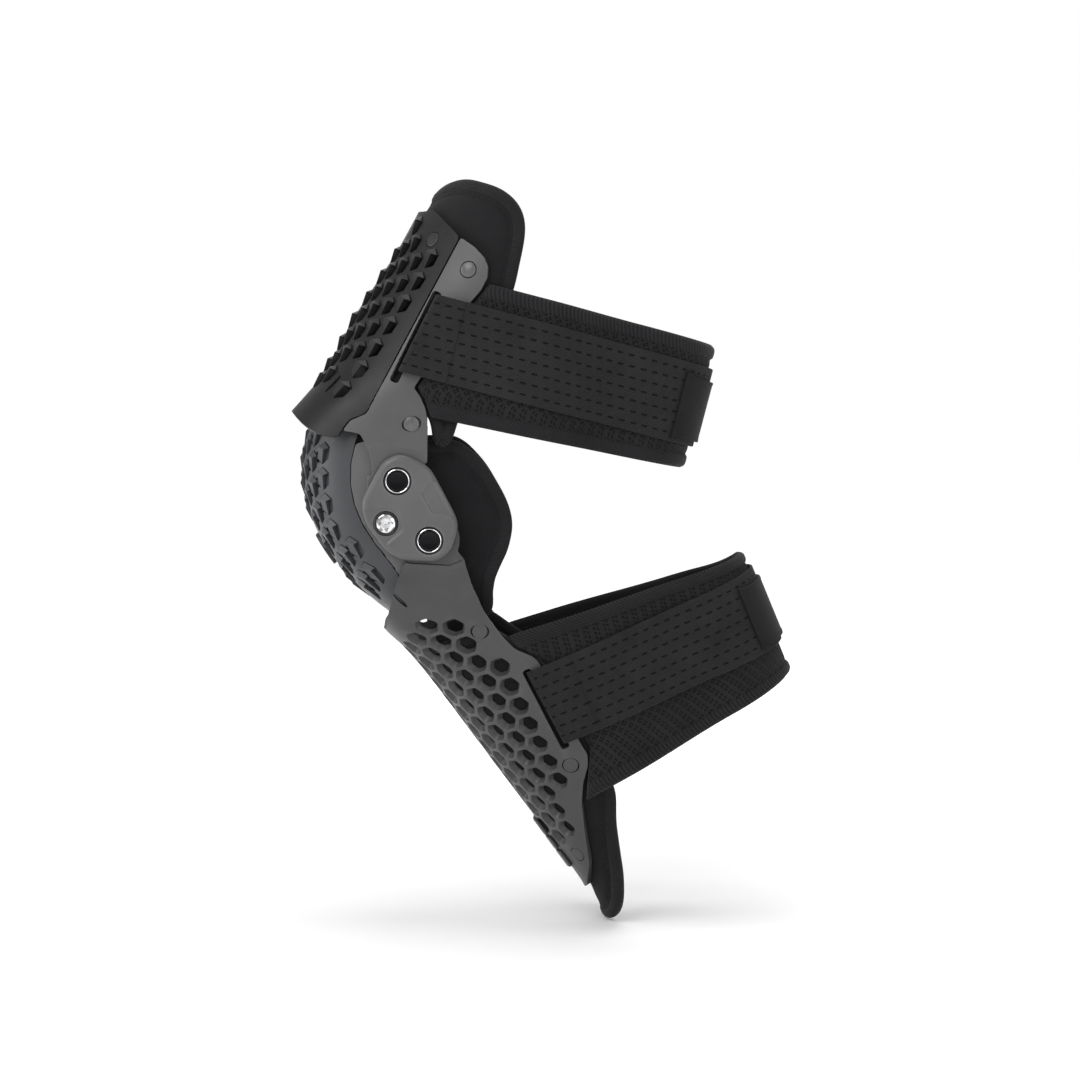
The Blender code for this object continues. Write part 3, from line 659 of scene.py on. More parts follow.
# spacer mesh: groups of four small holes on a diagonal lattice over a ribbed ground
def perforatedMesh(name, colour, pitch=6.6):
    made, tree, shader = fabricBase(name, colour, 0.04)
    u, v = flatCoords(tree)
    a = maths(tree, "DIVIDE", maths(tree, "ADD", u, v), pitch)
    b = maths(tree, "DIVIDE", maths(tree, "SUBTRACT", u, v), pitch)
    fa = maths(tree, "SUBTRACT", maths(tree, "FRACT", maths(tree, "ADD", a, 50.0)), 0.5)
    fb = maths(tree, "SUBTRACT", maths(tree, "FRACT", maths(tree, "ADD", b, 50.0)), 0.5)
    da = maths(tree, "SUBTRACT", maths(tree, "ABSOLUTE", fa), 0.17)
    db = maths(tree, "SUBTRACT", maths(tree, "ABSOLUTE", fb), 0.17)
    away = maths(tree, "SQRT", maths(tree, "ADD", maths(tree, "MULTIPLY", da, da),
                                     maths(tree, "MULTIPLY", db, db)))
    holes = ranged(tree, away, 0.10, 0.15, 1, 0, True)
    ground = maths(tree, "MULTIPLY", wave(tree, a, 0.25), wave(tree, b, 0.25))
    fuzz = noiseOf(tree, 2200, 2, 0.6)
    height = maths(tree, "ADD", maths(tree, "MULTIPLY", ground, 0.5),
                   maths(tree, "MULTIPLY", fuzz, 0.35))
    # the holes are painted near black: painted shade standing in for the depth of the perforations
    fabricTone(tree, shader, colour, height, 0.65, 1.4, maths(tree, "MULTIPLY", holes, 0.95))
    bumpTo(tree, shader, maths(tree, "SUBTRACT", height, maths(tree, "MULTIPLY", holes, 1.8)), 0.7, 0.45)
    return made


colours = {
    "plate": (0.0095, 0.0096, 0.010), "frame": (0.060, 0.0595, 0.060), "cup": (0.031, 0.0325, 0.036),
    "ear": (0.066, 0.0655, 0.066), "cover": (0.068, 0.067, 0.068), "shin": (0.034, 0.034, 0.035),
    "cap": (0.004, 0.004, 0.005), "chrome": (0.78, 0.79, 0.80), "rivet": (0.072, 0.072, 0.074),
    "knit": (0.0105, 0.0105, 0.0115), "neoprene": (0.0085, 0.0085, 0.0095),
    "tape": (0.012, 0.012, 0.013),
    "elastic": (0.0165, 0.0165, 0.0172), "mesh": (0.0165, 0.0165, 0.0172),
    "tab": (0.0085, 0.0085, 0.009),
}
plateBlack = mouldedPlastic("plateBlack", colours["plate"], 0.42,
                            ribs=((26, 2, 44, 1.5), (17, 70, 200, 1.3)), specular=0.28)
frameGrey = mouldedPlastic("frameGrey", colours["frame"], 0.42)
cupGrey = mouldedPlastic("cupGrey", colours["cup"], 0.42, specular=0.4)
earGrey = mouldedPlastic("earGrey", colours["ear"], 0.40)
coverGrey = mouldedPlastic("coverGrey", colours["cover"], 0.40)
shinGrey = mouldedPlastic("shinGrey", colours["shin"], 0.44, ribs=((24, 40, 66, 1.5),))
capBlack = mouldedPlastic("capBlack", colours["cap"], 0.09, grain=0.01, wearAndEdgeHighlight=0.0, specular=0.14)
ringBlack = mouldedPlastic("ringBlack", colours["cap"], 0.38, grain=0.03, wearAndEdgeHighlight=0.1)
chromeBright = metal("chromeBright", colours["chrome"], 0.09)
chromeWorn = metal("chromeWorn", colours["chrome"], 0.16, 0.15, 0.75)
rivetGrey = mouldedPlastic("rivetGrey", colours["rivet"], 0.34, grain=0.05, wearAndEdgeHighlight=0.2)
shinRivet = mouldedPlastic("shinRivet", colours["shin"], 0.42, grain=0.05, wearAndEdgeHighlight=0.2)
plateRivet = mouldedPlastic("plateRivet", colours["plate"], 0.44, grain=0.05, wearAndEdgeHighlight=0.2)
linerKnit = knit("linerKnit", colours["knit"])
linerSkin = neoprene("linerSkin", colours["neoprene"])
edgeTape = binding("edgeTape", colours["tape"])
padTape = binding("padTape", colours["tape"], 2.6, 0.8)
stitchThread = binding("stitchThread", scaled(colours["tape"], 0.8), 0.5)
strapElastic = elasticWeb("strapElastic", colours["elastic"], 25.0)
padMesh = perforatedMesh("padMesh", colours["mesh"])
tabBlack = neoprene("tabBlack", colours["tab"])
print("finishes ready")


# Raised cube-corner studs, used on the thigh plate and more shallowly on the knee cup
def lattice(anchor, first, second, reach=16):
    steps = range(-reach, reach)
    return np.array([anchor + i * np.array(first) + j * np.array(second) for i in steps for j in steps])


def studCorners(look):
    high, wide = look["halfHeight"], look["halfWidth"]
    around = np.array([0, wide, wide, 0, -wide, -wide])
    along = np.array([high, high / 2, -high / 2, -high, -high / 2, high / 2])
    return np.stack((around, along), axis=1)


# two raised facets beside an open one, as one closed solid for each stud
def studMesh(name, shell, centres, look):
    corners = studCorners(look) * 0.985
    points, faces = [], []
    for centre in centres:
        side = 1 if centre[0] >= 0 else -1
        turn = np.array((side, 1))
        middle = np.array(look["peakAt"]) * turn
        ring = [corners[0], corners[1], middle * turn, corners[3], corners[4], corners[5]]
        flat = np.array([centre + r * turn for r in ring])
        top = pointAt(shell, flat[:, 0], flat[:, 1], np.array(look["heights"]))
        low = pointAt(shell, flat[:, 0], flat[:, 1], look["bottom"])
        n = len(points)
        points += top.tolist() + low.tolist()
        quads = [(0, 1, 2, 5), (5, 2, 3, 4)]
        made = quads + [tuple(6 + k for k in reversed(q)) for q in quads]
        made += [((k + 1) % 6, k, 6 + k, 6 + (k + 1) % 6) for k in range(6)]
        if look.get("floor") is not None:
            whole = np.array([centre + corner * 1.02 * turn for corner in corners])
            up = pointAt(shell, whole[:, 0], whole[:, 1], look["floor"])
            down = pointAt(shell, whole[:, 0], whole[:, 1], look["bottom"] + 0.05)
            points += up.tolist() + down.tolist()
            made += [tuple(range(12, 18)), tuple(range(23, 17, -1))]
            made += [(12 + (k + 1) % 6, 12 + k, 18 + k, 18 + (k + 1) % 6) for k in range(6)]
        faces += [tuple(n + k for k in f) for f in made]
    mesh = bpy.data.meshes.new(name)
    mesh.from_pydata((np.array(points) * mm).tolist(), [], faces)
    mesh.uv_layers.new(name="flat")
    faceOut(mesh)
    mesh.shade_smooth()
    return softEdges(addObject(name, mesh), look["edge"], 2, 20)


def bothSides(centres):
    return np.vstack((centres, centres * (-1, 1)))


def holeRound(centre, radius, steps=28):
    turn = np.arange(steps) * 2 * math.pi / steps
    return np.stack((centre[0] + radius * np.cos(turn), centre[1] + radius * np.sin(turn)), axis=1)


def slotHole(shell, ends, width=5.4):
    (y0, z0), (y1, z1) = ends
    length = math.dist(*ends)
    along = np.array(((y1 - y0) / length, (z1 - z0) / length))
    across = np.array((-along[1], along[0]))
    half = width / 2
    corners = [(-half, -half), (length + half, -half), (length + half, half), (-half, half)]
    outline = [np.array((y0, z0)) + s * along + w * across for s, w in corners]
    return unroll(shell, densified(rounded(outline, 1.6), 1.5))[0]


def gearEnd(pivot, other, startDeg, endDeg):
    facing = math.degrees(math.atan2(other[1] - pivot[1], other[0] - pivot[0]))
    pitch = 360.0 / hinge["teeth"]
    shift = 0.0 if pivot == hinge["upper"] else pitch / 2
    root, tip = hinge["pitchRadius"] - hinge["root"], hinge["pitchRadius"] + hinge["tip"]
    corners = []
    for tooth in range(-4, 5):
        middle = tooth * pitch + shift
        if abs(middle) <= 52:
            half = pitch * hinge["toothShare"] / 2
            corners += [(middle - half * 1.45, root), (middle - half * 0.55, tip),
                        (middle + half * 0.55, tip), (middle + half * 1.45, root)]
    corners.reverse()
    points = [(angle, root) for angle in np.linspace(startDeg - facing, corners[0][0], 9)[:-1]]
    points += corners
    points += [(angle, root) for angle in np.linspace(corners[-1][0], endDeg - facing, 9)[1:]]
    turned = [(math.radians(angle + facing), radius) for angle, radius in points]
    return [(pivot[0] + reach * math.cos(angle), pivot[1] + reach * math.sin(angle))
            for angle, reach in turned]


# a domed head in a narrow dark gap; spot is (y, z) on the outer side
def rivetHead(name, shell, spot, side, body, look, finish, slot, *replaced):
    flat, _ = unroll(shell, [spot])
    around, along = flat[0, 0] * side, flat[0, 1]
    at = pointAt(shell, np.array([around]), np.array([along]))[0]
    normal = normalAt(shell, np.array([around]), np.array([along]))[0]
    radius, proud, dome = look["radius"], look["proud"], look["dome"]
    profile = [(0.001, proud + dome)]
    for t in np.linspace(0.25, 1, 6):
        profile.append(((radius - 0.5) * t, proud + dome * (1 - t * t)))
    profile += [(radius - 0.15, proud - 0.18), (radius, proud - 0.5), (radius, -1.6), (2.4, -1.6),
                (2.4, -3.6)]
    profile += [(6.4, -3.6), (6.4, -3.9), (0.001, -3.9)]
    piece = turnedPiece(name, profile, at, normal)
    return place(piece, body, slot, finish, *replaced)


rivetHole = 5.1

# Thigh plate: studded front shell with a flared lip
thighShell = makeShell(thighSections, thighAxes)
kneeShell = makeShell(kneeSections, kneeAxes)
shinShell = makeShell(shinSections, shinAxes)
thighPlate = {
    "outline": [
        (-8, 184), (2.9, 181.4), (12.4, 181.2), (28.0, 163.8), (-28.4, 58.6), (-38.4, 54.6),
        (-43.6, 47.6), (-45.2, 44.2), (-50.6, 44.7), (-58, 46.4), (-66, 51.0), (-75, 59.4),
        (-100, 80), (-100, 140), (-30, 200),
    ],
    "thickness": 3.2, "firstStud": (10.7, 151.5), "studDown": (0, -15.8), "studFront": (-10.8, -5.6),
    "lowest": 41.0, "middleBand": ((40, 8.0), (110, 9.0), (150, 19.0), (180, 26.0)), "margin": 8.6,
    "rivet": (11.8, 163.0), "rivetClear": 11.5, "vent": (-48.5, 76.0), "ventHalf": (7.0, 1.5),
    "ventClear": 6.5,
}
studs = {
    "halfHeight": 6.7, "halfWidth": 4.9, "peakAt": (1.7, 2.6),
    "heights": (0.5, 1.7, 3.7, 0.9, 0.15, 2.0),
    "bottom": -3.2, "edge": 0.3, "floor": None,
}


def ventHole(shell, at, halfAlong, halfAround):
    centre = unroll(shell, [at])[0][0]
    turn = np.arange(24) * 2 * math.pi / 24
    return np.stack((centre[0] + halfAround * np.cos(turn), centre[1] + halfAlong * np.sin(turn)),
                    axis=1)


def buildThighPlate(look, studLook):
    outline = wholeOutline(thighShell, look["outline"])
    rivetAt = unroll(thighShell, [look["rivet"]])[0][0]
    first = unroll(thighShell, [look["firstStud"]])[0][0]
    vent = ventHole(thighShell, look["vent"], *look["ventHalf"])
    centres = lattice(first, look["studDown"], look["studFront"])
    band = np.interp(centres[:, 1], [b[0] for b in look["middleBand"]],
                     [b[1] for b in look["middleBand"]])
    keep = (centres[:, 0] > band) & (centres[:, 0] < first[0] + 1) & (centres[:, 1] > look["lowest"])
    centres = centres[keep]
    centres = centres[inside(centres, outline)]
    centres = centres[distanceTo(centres, outline) > look["margin"]]
    centres = centres[np.linalg.norm(centres - rivetAt, axis=1) > look["rivetClear"]]
    centres = centres[distanceTo(centres, vent) > look["ventClear"]]
    centres = bothSides(centres)
    corners = studCorners(studLook)
    holes = [centre + corners * (1 if centre[0] > 0 else -1, 1) for centre in centres]
    holes += [holeRound(rivetAt * (side, 1), rivetHole) for _, side in sides]
    holes += [vent * (side, 1) for _, side in sides]
    plate = shellPiece("thigh_plate_shell", thighShell, outline, holes, look["thickness"], spacing=3.0)
    made = studMesh("thigh_studs", thighShell, centres, studLook)
    for piece in (plate, made):
        applyModifiers(piece)
        piece.data.materials.clear()
        piece.data.materials.append(plateBlack)
    whole = joined("thigh_plate_shell", [plate, made])
    place(whole, "thigh", "thigh_plate", plateBlack, "thigh_plate")
    return len(centres)


print("thigh plate studs:", buildThighPlate(thighPlate, studs))

# Thigh frames: lighter side plates with slot, rivets and hinge arm
thighFrame = {
    "outline": [
        (28.8, 163.5), (36.6, 158.0), (42.6, 151.6), (45.0, 146.2), (44.6, 139.4), (40.7, 131.8),
        (33.9, 123.9), (0.6, 73.8), (4.4, 68.4), (7.6, 61.0), (8.6, 54.7), (8.6, 29.0),
    ],
    "front": [
        (-24.8, 20.7), (-24.8, 27.5), (-26.3, 33.6), (-29.3, 41.6), (-31.8, 45.9), (-35.6, 47.1),
        (-42.2, 48.0), (-37.9, 54.2), (-28.1, 58.2),
    ],
    "gearFrom": 32.0, "gearTo": -192.0, "thickness": 3.5, "slot": ((14.0, 128.6), (-10.6, 79.6)),
    "rivets": ((33.2, 144.2), (-0.8, 52.0)), "crease": ((-34.0, 38.0), (-13.0, 42.0), (12.0, 34.0)),
    "creaseDepth": 0.9,
}
frameRivet = {"radius": 4.7, "proud": 0.55, "dome": 0.75}
flushRivet = {"radius": 4.7, "proud": 0.15, "dome": 0.15}


# (y, z) of unrolled points
def sideOf(shell, flat):
    return pointAt(shell, flat[:, 0], flat[:, 1])[:, 1:]


def buildThighFrame(side, sideName, look):
    arm = gearEnd(hinge["upper"], hinge["lower"], look["gearFrom"], look["gearTo"])
    path = list(look["outline"]) + arm + list(look["front"])
    outline = halfOutline(thighShell, path, 1.2, 1.2)
    holes = [slotHole(thighShell, look["slot"])]
    holes.append(holeRound(unroll(thighShell, [hinge["upper"]])[0][0], hinge["armHole"]))
    holes += [holeRound(unroll(thighShell, [spot])[0][0], rivetHole) for spot in look["rivets"]]

    def creased(flat):
        at = sideOf(thighShell, np.abs(flat))
        line = np.interp(at[:, 0], [p[0] for p in look["crease"]], [p[1] for p in look["crease"]])
        return -look["creaseDepth"] * smoothStep(line - at[:, 1], 0, 3.2)

    crease = densified(look["crease"], 1.2, False)
    flip = np.array((side, 1))
    rows = [unroll(thighShell, crease - (0, below))[0] * flip for below in (-0.6, 0.2, 1.4, 3.0)]
    piece = shellPiece("thigh_frame_shell_" + sideName, thighShell, outline * flip,
                       [hole * flip for hole in holes], look["thickness"], spacing=2.2, edge=0.7,
                       shape=creased, extra=rows)
    place(piece, "thigh", "frame", frameGrey, "thigh_frame_" + sideName)
    rivetHead(f"thigh_rivet_head_{sideName}_1", thighShell, thighPlate["rivet"], side, "thigh",
              flushRivet, plateRivet, "rivet", f"thigh_rivet_{sideName}_1")
    for number, spot in enumerate(look["rivets"], 2):
        rivetHead(f"thigh_rivet_head_{sideName}_{number}", thighShell, spot, side, "thigh",
                  frameRivet, rivetGrey, "rivet", f"thigh_rivet_{sideName}_{number}")


for sideName, side in sides:
    buildThighFrame(side, sideName, thighFrame)
print("thigh frames ready")

# Knee cup, its ears and the raised badge panel
kneeCup = {
    "seam": [
        (-27.8, 62.0), (-31.4, 52.0), (-35.2, 40.0), (-37.9, 28.0), (-38.2, 16.0), (-36.0, 3.6),
        (-31.0, -8.4), (-23.0, -20.6), (-14.6, -31.2), (-8.6, -40.0), (-3.0, -52.0), (0.5, -66.0),
    ],
    "front": [(-110, -66.0), (-110, 62.0)], "thickness": 2.5, "band": 14.0, "firstScale": (-47.0, 24.0),
    "scaleDown": (0.5, -15.6), "scaleFront": (-10.4, -5.4), "middleBand": 5.0,
    "bareAround": 23.0, "bareAlong": (-42.0, -12.0), "badgeHalf": 19.0, "badgeAlong": (-35.0, -17.5),
    "badgeProud": 2.2, "badgeFrom": 0.3, "badgeGroove": 0.6,
}
scales = {
    "halfHeight": 6.8, "halfWidth": 4.8, "peakAt": (1.5, 2.0),
    "heights": (0.2, 0.7, 1.9, 0.4, 0.05, 1.0),
    "bottom": -2.5, "edge": 0.25, "floor": -1.5,
}
cupEar = {
    "rear": [
        (-5.4, -44.5), (6.0, -42.5), (18.0, -36.5), (25.6, -26.0), (24.4, -10.0), (14.0, 8.0),
        (8.4, 24.0), (0.0, 36.0), (-10.0, 41.0), (-24.0, 43.0),
    ],
    "thickness": 2.5, "seamGap": 0.4,
}


def buildKneeCup(look, scaleLook):
    outline = wholeOutline(kneeShell, look["seam"] + look["front"])
    first = unroll(kneeShell, [look["firstScale"]])[0][0]
    centres = lattice(first, look["scaleDown"], look["scaleFront"])
    centres = centres[centres[:, 0] > look["middleBand"]]
    centres = centres[inside(centres, outline)]
    centres = centres[distanceTo(centres, outline) > look["band"]]
    bareLow, bareHigh = look["bareAlong"]
    beside = centres[:, 0] > look["bareAround"]
    centres = centres[beside | (centres[:, 1] > bareHigh) | (centres[:, 1] < bareLow)]
    centres = bothSides(centres)
    corners = studCorners(scaleLook)
    holes = [centre + corners * (1 if centre[0] > 0 else -1, 1) for centre in centres]
    cup = shellPiece("knee_cup_shell", kneeShell, outline, holes, look["thickness"], spacing=3.0)
    made = studMesh("cup_scales", kneeShell, centres, scaleLook)
    for piece in (cup, made):
        applyModifiers(piece)
        piece.data.materials.clear()
        piece.data.materials.append(cupGrey)
    place(joined("knee_cup_shell", [cup, made]), "knee", "knee_cup", cupGrey, "knee_cup")
    half = look["badgeHalf"]
    low, high = look["badgeAlong"]
    middle = (low + high) / 2
    panel = rounded([(-half + 3, low), (half - 3, low), (half, middle), (half - 5, high),
                     (-half + 5, high), (-half, middle)], 2.0)
    panel = densified(panel, 1.5)
    flat, faces = region(panel, [], 2.0)
    groove = -look["badgeGroove"] * smoothStep(1.2 - np.abs(distanceTo(flat, panel) - 3.6), 0, 0.8)
    outer = pointAt(kneeShell, flat[:, 0], flat[:, 1], look["badgeProud"] + groove)
    inner = pointAt(kneeShell, flat[:, 0], flat[:, 1], look["badgeFrom"])
    badge = softEdges(thickSheet("cup_badge_panel", flat, faces, outer, inner, kneeShell["flip"] < 0),
                      0.5)
    place(badge, "knee", "knee_cup", cupGrey, "cup_badge")
    return len(centres)


print("cup scales:", buildKneeCup(kneeCup, scales))


def buildEar(side, sideName, look):
    path = [(y + look["seamGap"], z) for y, z in kneeCup["seam"][2:10]] + look["rear"]
    outline = halfOutline(kneeShell, path, 1.5, 1.4)
    holes = []
    for label, radius in (("upper", hinge["armHole"]), ("lower", hinge["armHole"]), ("stud", 3.3)):
        holes.append(holeRound(unroll(kneeShell, [hinge[label]])[0][0], radius))
    flip = np.array((side, 1))
    piece = shellPiece("cup_ear_shell_" + sideName, kneeShell, outline * flip,
                       [hole * flip for hole in holes], look["thickness"], spacing=2.4, edge=0.5)
    place(piece, "knee", "frame", earGrey, "cup_ear_" + sideName)


for sideName, side in sides:
    buildEar(side, sideName, cupEar)
print("ears ready")

# Hinge covers, caps, rings and studs
hingeCover = {
    "outline": [
        (-31.0, 2.6), (-30.0, 8.0), (-22.6, 22.4), (-17.6, 30.4), (-11.2, 33.5), (-6.0, 33.9),
        (0.5, 31.4), (10.1, 26.0), (16.5, 14.3), (26.0, -4.0), (27.0, -10.4), (22.8, -24.3),
        (14.2, -30.7), (-7.2, -29.6), (-16.7, -24.2), (-28.4, -8.0),
    ],
    "rim": ((0.0, -2.3), (0.5, -1.5), (1.6, -0.75), (2.6, -0.15), (3.1, 0.0)),
    "pocket": [(-34, -1.0), (-29.0, 0.8), (-14.5, 2.0), (-10.4, 0.7), (-5.5, -9.6), (-7.0, -12.2),
               (-18.0, -21.8), (-26, -27)],
    "detail": [(10.6, 17.5), (5.4, 10.2), (11.8, -1.2), (21.0, -2.6), (30, -6), (24, 14)],
    "pocketDepth": 1.0, "detailDepth": 0.55, "studRadius": 7.6, "studBore": 3.3,
    "seats": (("upper", 8.7), ("lower", 8.7), ("stud", 7.8)), "seatThick": 1.3,
}


def buildCover(side, sideName, look):
    outline = densified(rounded(look["outline"], 5.0, 6), 0.9)
    pocket = densified(rounded(look["pocket"], 2.2), 0.7)
    detail = densified(rounded(look["detail"], 1.6), 0.7)
    rings = [insetLine(outline, amount) for amount, _ in look["rim"][1:]]
    rings += [insetLine(pocket, -0.45), insetLine(pocket, 0.45), insetLine(detail, -0.5),
              insetLine(detail, 0.5)]
    holes = [holeRound(hinge["upper"], hinge["seatRadius"], 48),
             holeRound(hinge["lower"], hinge["seatRadius"], 48),
             holeRound(hinge["stud"], look["studRadius"], 40)]
    flat, faces = region(outline, holes, 1.25, clearOf(rings, outline, holes, 0.3))
    away = distanceTo(flat, outline)
    height = np.interp(away, [r[0] for r in look["rim"]], [r[1] for r in look["rim"]])
    inPocket = np.where(inside(flat, pocket), 1, -1) * distanceTo(flat, pocket)
    inDetail = np.where(inside(flat, detail), 1, -1) * distanceTo(flat, detail)
    height -= look["pocketDepth"] * smoothStep(inPocket, -0.45, 0.45) * smoothStep(away, 0.8, 3.0)
    height -= look["detailDepth"] * smoothStep(inDetail, -0.5, 0.5) * smoothStep(away, 1.0, 3.2)
    height += 0.35 * smoothStep(0.9 - np.abs(inDetail + 0.6), 0, 0.8) * smoothStep(away, 1.5, 3.2)
    x = np.full(len(flat), side * 1.0)
    outer = np.stack((x * (hinge["coverOut"] + height), flat[:, 0], flat[:, 1]), axis=1)
    inner = np.stack((x * hinge["coverIn"], flat[:, 0], flat[:, 1]), axis=1)
    piece = thickSheet("hinge_cover_plate_" + sideName, flat, faces, outer, inner, side < 0)
    piece.data.set_sharp_from_angle(angle=math.radians(50))
    floors = [piece]
    deep = look["seatThick"]
    for label, reach in look["seats"]:
        bore = look["studBore"] if label == "stud" else hinge["armHole"]
        profile = [(bore, 0.0), (reach, 0.0), (reach, deep), (bore, deep), (bore, 0.0)]
        at = (side * hinge["coverIn"], *hinge[label])
        ring = turnedPiece("seat_" + label, profile, at, (side, 0, 0))
        floors.append(ring)
    for part in floors:
        part.data.materials.clear()
        part.data.materials.append(coverGrey)
    for part in floors[1:]:
        part.data.materials[0] = ringBlack
        part.data.uv_layers.new(name="flat")
    whole = joined("hinge_cover_plate_" + sideName, floors)
    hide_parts("hinge_cover_" + sideName)
    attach(whole, "knee")


pivotCap = {"radius": 6.3, "top": 71.9, "shank": 4.0, "dish": 0.25}
pivotRing = {"inner": 6.55, "outer": 8.2, "top": 72.35}
coverStud = {"radius": 7.3, "face": 5.6, "top": 72.0, "shank": 3.0}


def buildPins(side, sideName):
    axis = (side, 0, 0)
    under, end = hinge["headUnder"], hinge["shankEnd"]
    for label in ("upper", "lower"):
        at = (0, *hinge[label])
        r, top, dish = pivotCap["radius"], pivotCap["top"], pivotCap["dish"]
        profile = [(0.001, top - dish)]
        profile += [(r * t, top - dish + dish * t * t) for t in (0.2, 0.4, 0.6, 0.8)]
        profile += [(r - 0.45, top + 0.02), (r - 0.12, top - 0.12), (r, top - 0.5), (r, under)]
        profile += [(pivotCap["shank"], under), (pivotCap["shank"], end), (0.001, end)]
        cap = turnedPiece(f"pivot_cap_{label}_{sideName}", profile, at, axis, 64)
        place(cap, "knee", "pivot_cap", capBlack, f"pivot_pin_{label}_{sideName}")
        inner, outer, top = pivotRing["inner"], pivotRing["outer"], pivotRing["top"]
        profile = [(inner, under), (inner, top - 0.35), (inner + 0.15, top - 0.08),
                   (inner + 0.35, top), (inner + 0.62, top - 0.1), (inner + 0.78, top - 0.4),
                   (inner + 0.85, top - 1.0), (outer - 0.2, top - 1.05), (outer, top - 1.3),
                   (outer, under), (inner, under)]
        ring = turnedPiece(f"pivot_rim_{label}_{sideName}", profile, at, axis, 64)
        place(ring, "knee", "bright_metal", chromeBright, f"pivot_ring_{label}_{sideName}")
        ring.data.materials.append(ringBlack)
        for polygon in ring.data.polygons:
            reach = math.hypot(polygon.center.x, polygon.center.y) / mm
            polygon.material_index = 1 if reach > inner + 0.8 else 0
    r, face, top = coverStud["radius"], coverStud["face"], coverStud["top"]
    profile = [(0.001, top - 0.1), (face * 0.5, top - 0.06), (face - 0.5, top), (face, top - 0.35),
               (face + 0.15, top - 1.2), (r - 0.95, top - 1.2), (r - 0.85, top - 0.45),
               (r - 0.5, top - 0.3), (r, top - 0.7), (r, under), (coverStud["shank"], under),
               (coverStud["shank"], end), (0.001, end)]
    stud = turnedPiece("cover_stud_head_" + sideName, profile, (0, *hinge["stud"]), axis, 64)
    place(stud, "knee", "bright_metal", chromeWorn, "cover_stud_" + sideName)
    stud.data.materials.append(ringBlack)
    for polygon in stud.data.polygons:
        reach = math.hypot(polygon.center.x, polygon.center.y) / mm
        polygon.material_index = 1 if reach > face + 0.05 else 0


for sideName, side in sides:
    buildCover(side, sideName, hingeCover)
    buildPins(side, sideName)
print("hinges ready")

# Shin plate: hexagonal windows, flush rivets and three low bars
shinPlate = {
    "outline": [
        (30.7, -29.8), (31.6, -34.0), (35.2, -45.2), (42.9, -62.3), (53.7, -77.2), (61.3, -84.5),
        (72.1, -89.4), (76.0, -93.3), (101.5, -143.5), (105.8, -150.5), (106.2, -157.4),
        (103.4, -168.8), (102.7, -181.1), (105.1, -200.9), (108.6, -222.0), (108.3, -231.2),
        (107.8, -246.0), (80, -246), (-60, -100.2), (-22, -79.5), (-17.0, -74.0), (-15.6, -64.0),
        (-10.2, -43.3), (-6.0, -33.0),
    ],
    "gearFrom": 224.0, "gearTo": -22.0, "thickness": 3.5, "slot": ((69.0, -99.6), (91.6, -144.1)),
    "rivets": ((40.0, -73.4), (95.6, -157.4), (101.4, -217.7)),
    "firstWindow": (24.0, -71.2), "pitch": 13.8, "turn": -17.0, "windowRadius": 6.7, "taper": 0.74,
    "slant": 0.75, "middleBand": 7.0,
    "field": [
        (-30, -66), (30, -64), (33, -76), (44, -88), (56, -91), (61, -112), (66, -126), (80, -133),
        (85, -150), (93, -163), (95, -182), (99, -196), (97, -206), (84, -214), (40, -200),
        (-60, -110),
    ],
    "flange": ((-9.0, -31.6), (22.0, -33.6), (33.0, -29.0)), "vent": (-8.5, -54.0),
    "ventHalf": (6.5, 1.2), "rivetClear": 12.0, "margin": 9.0,
}


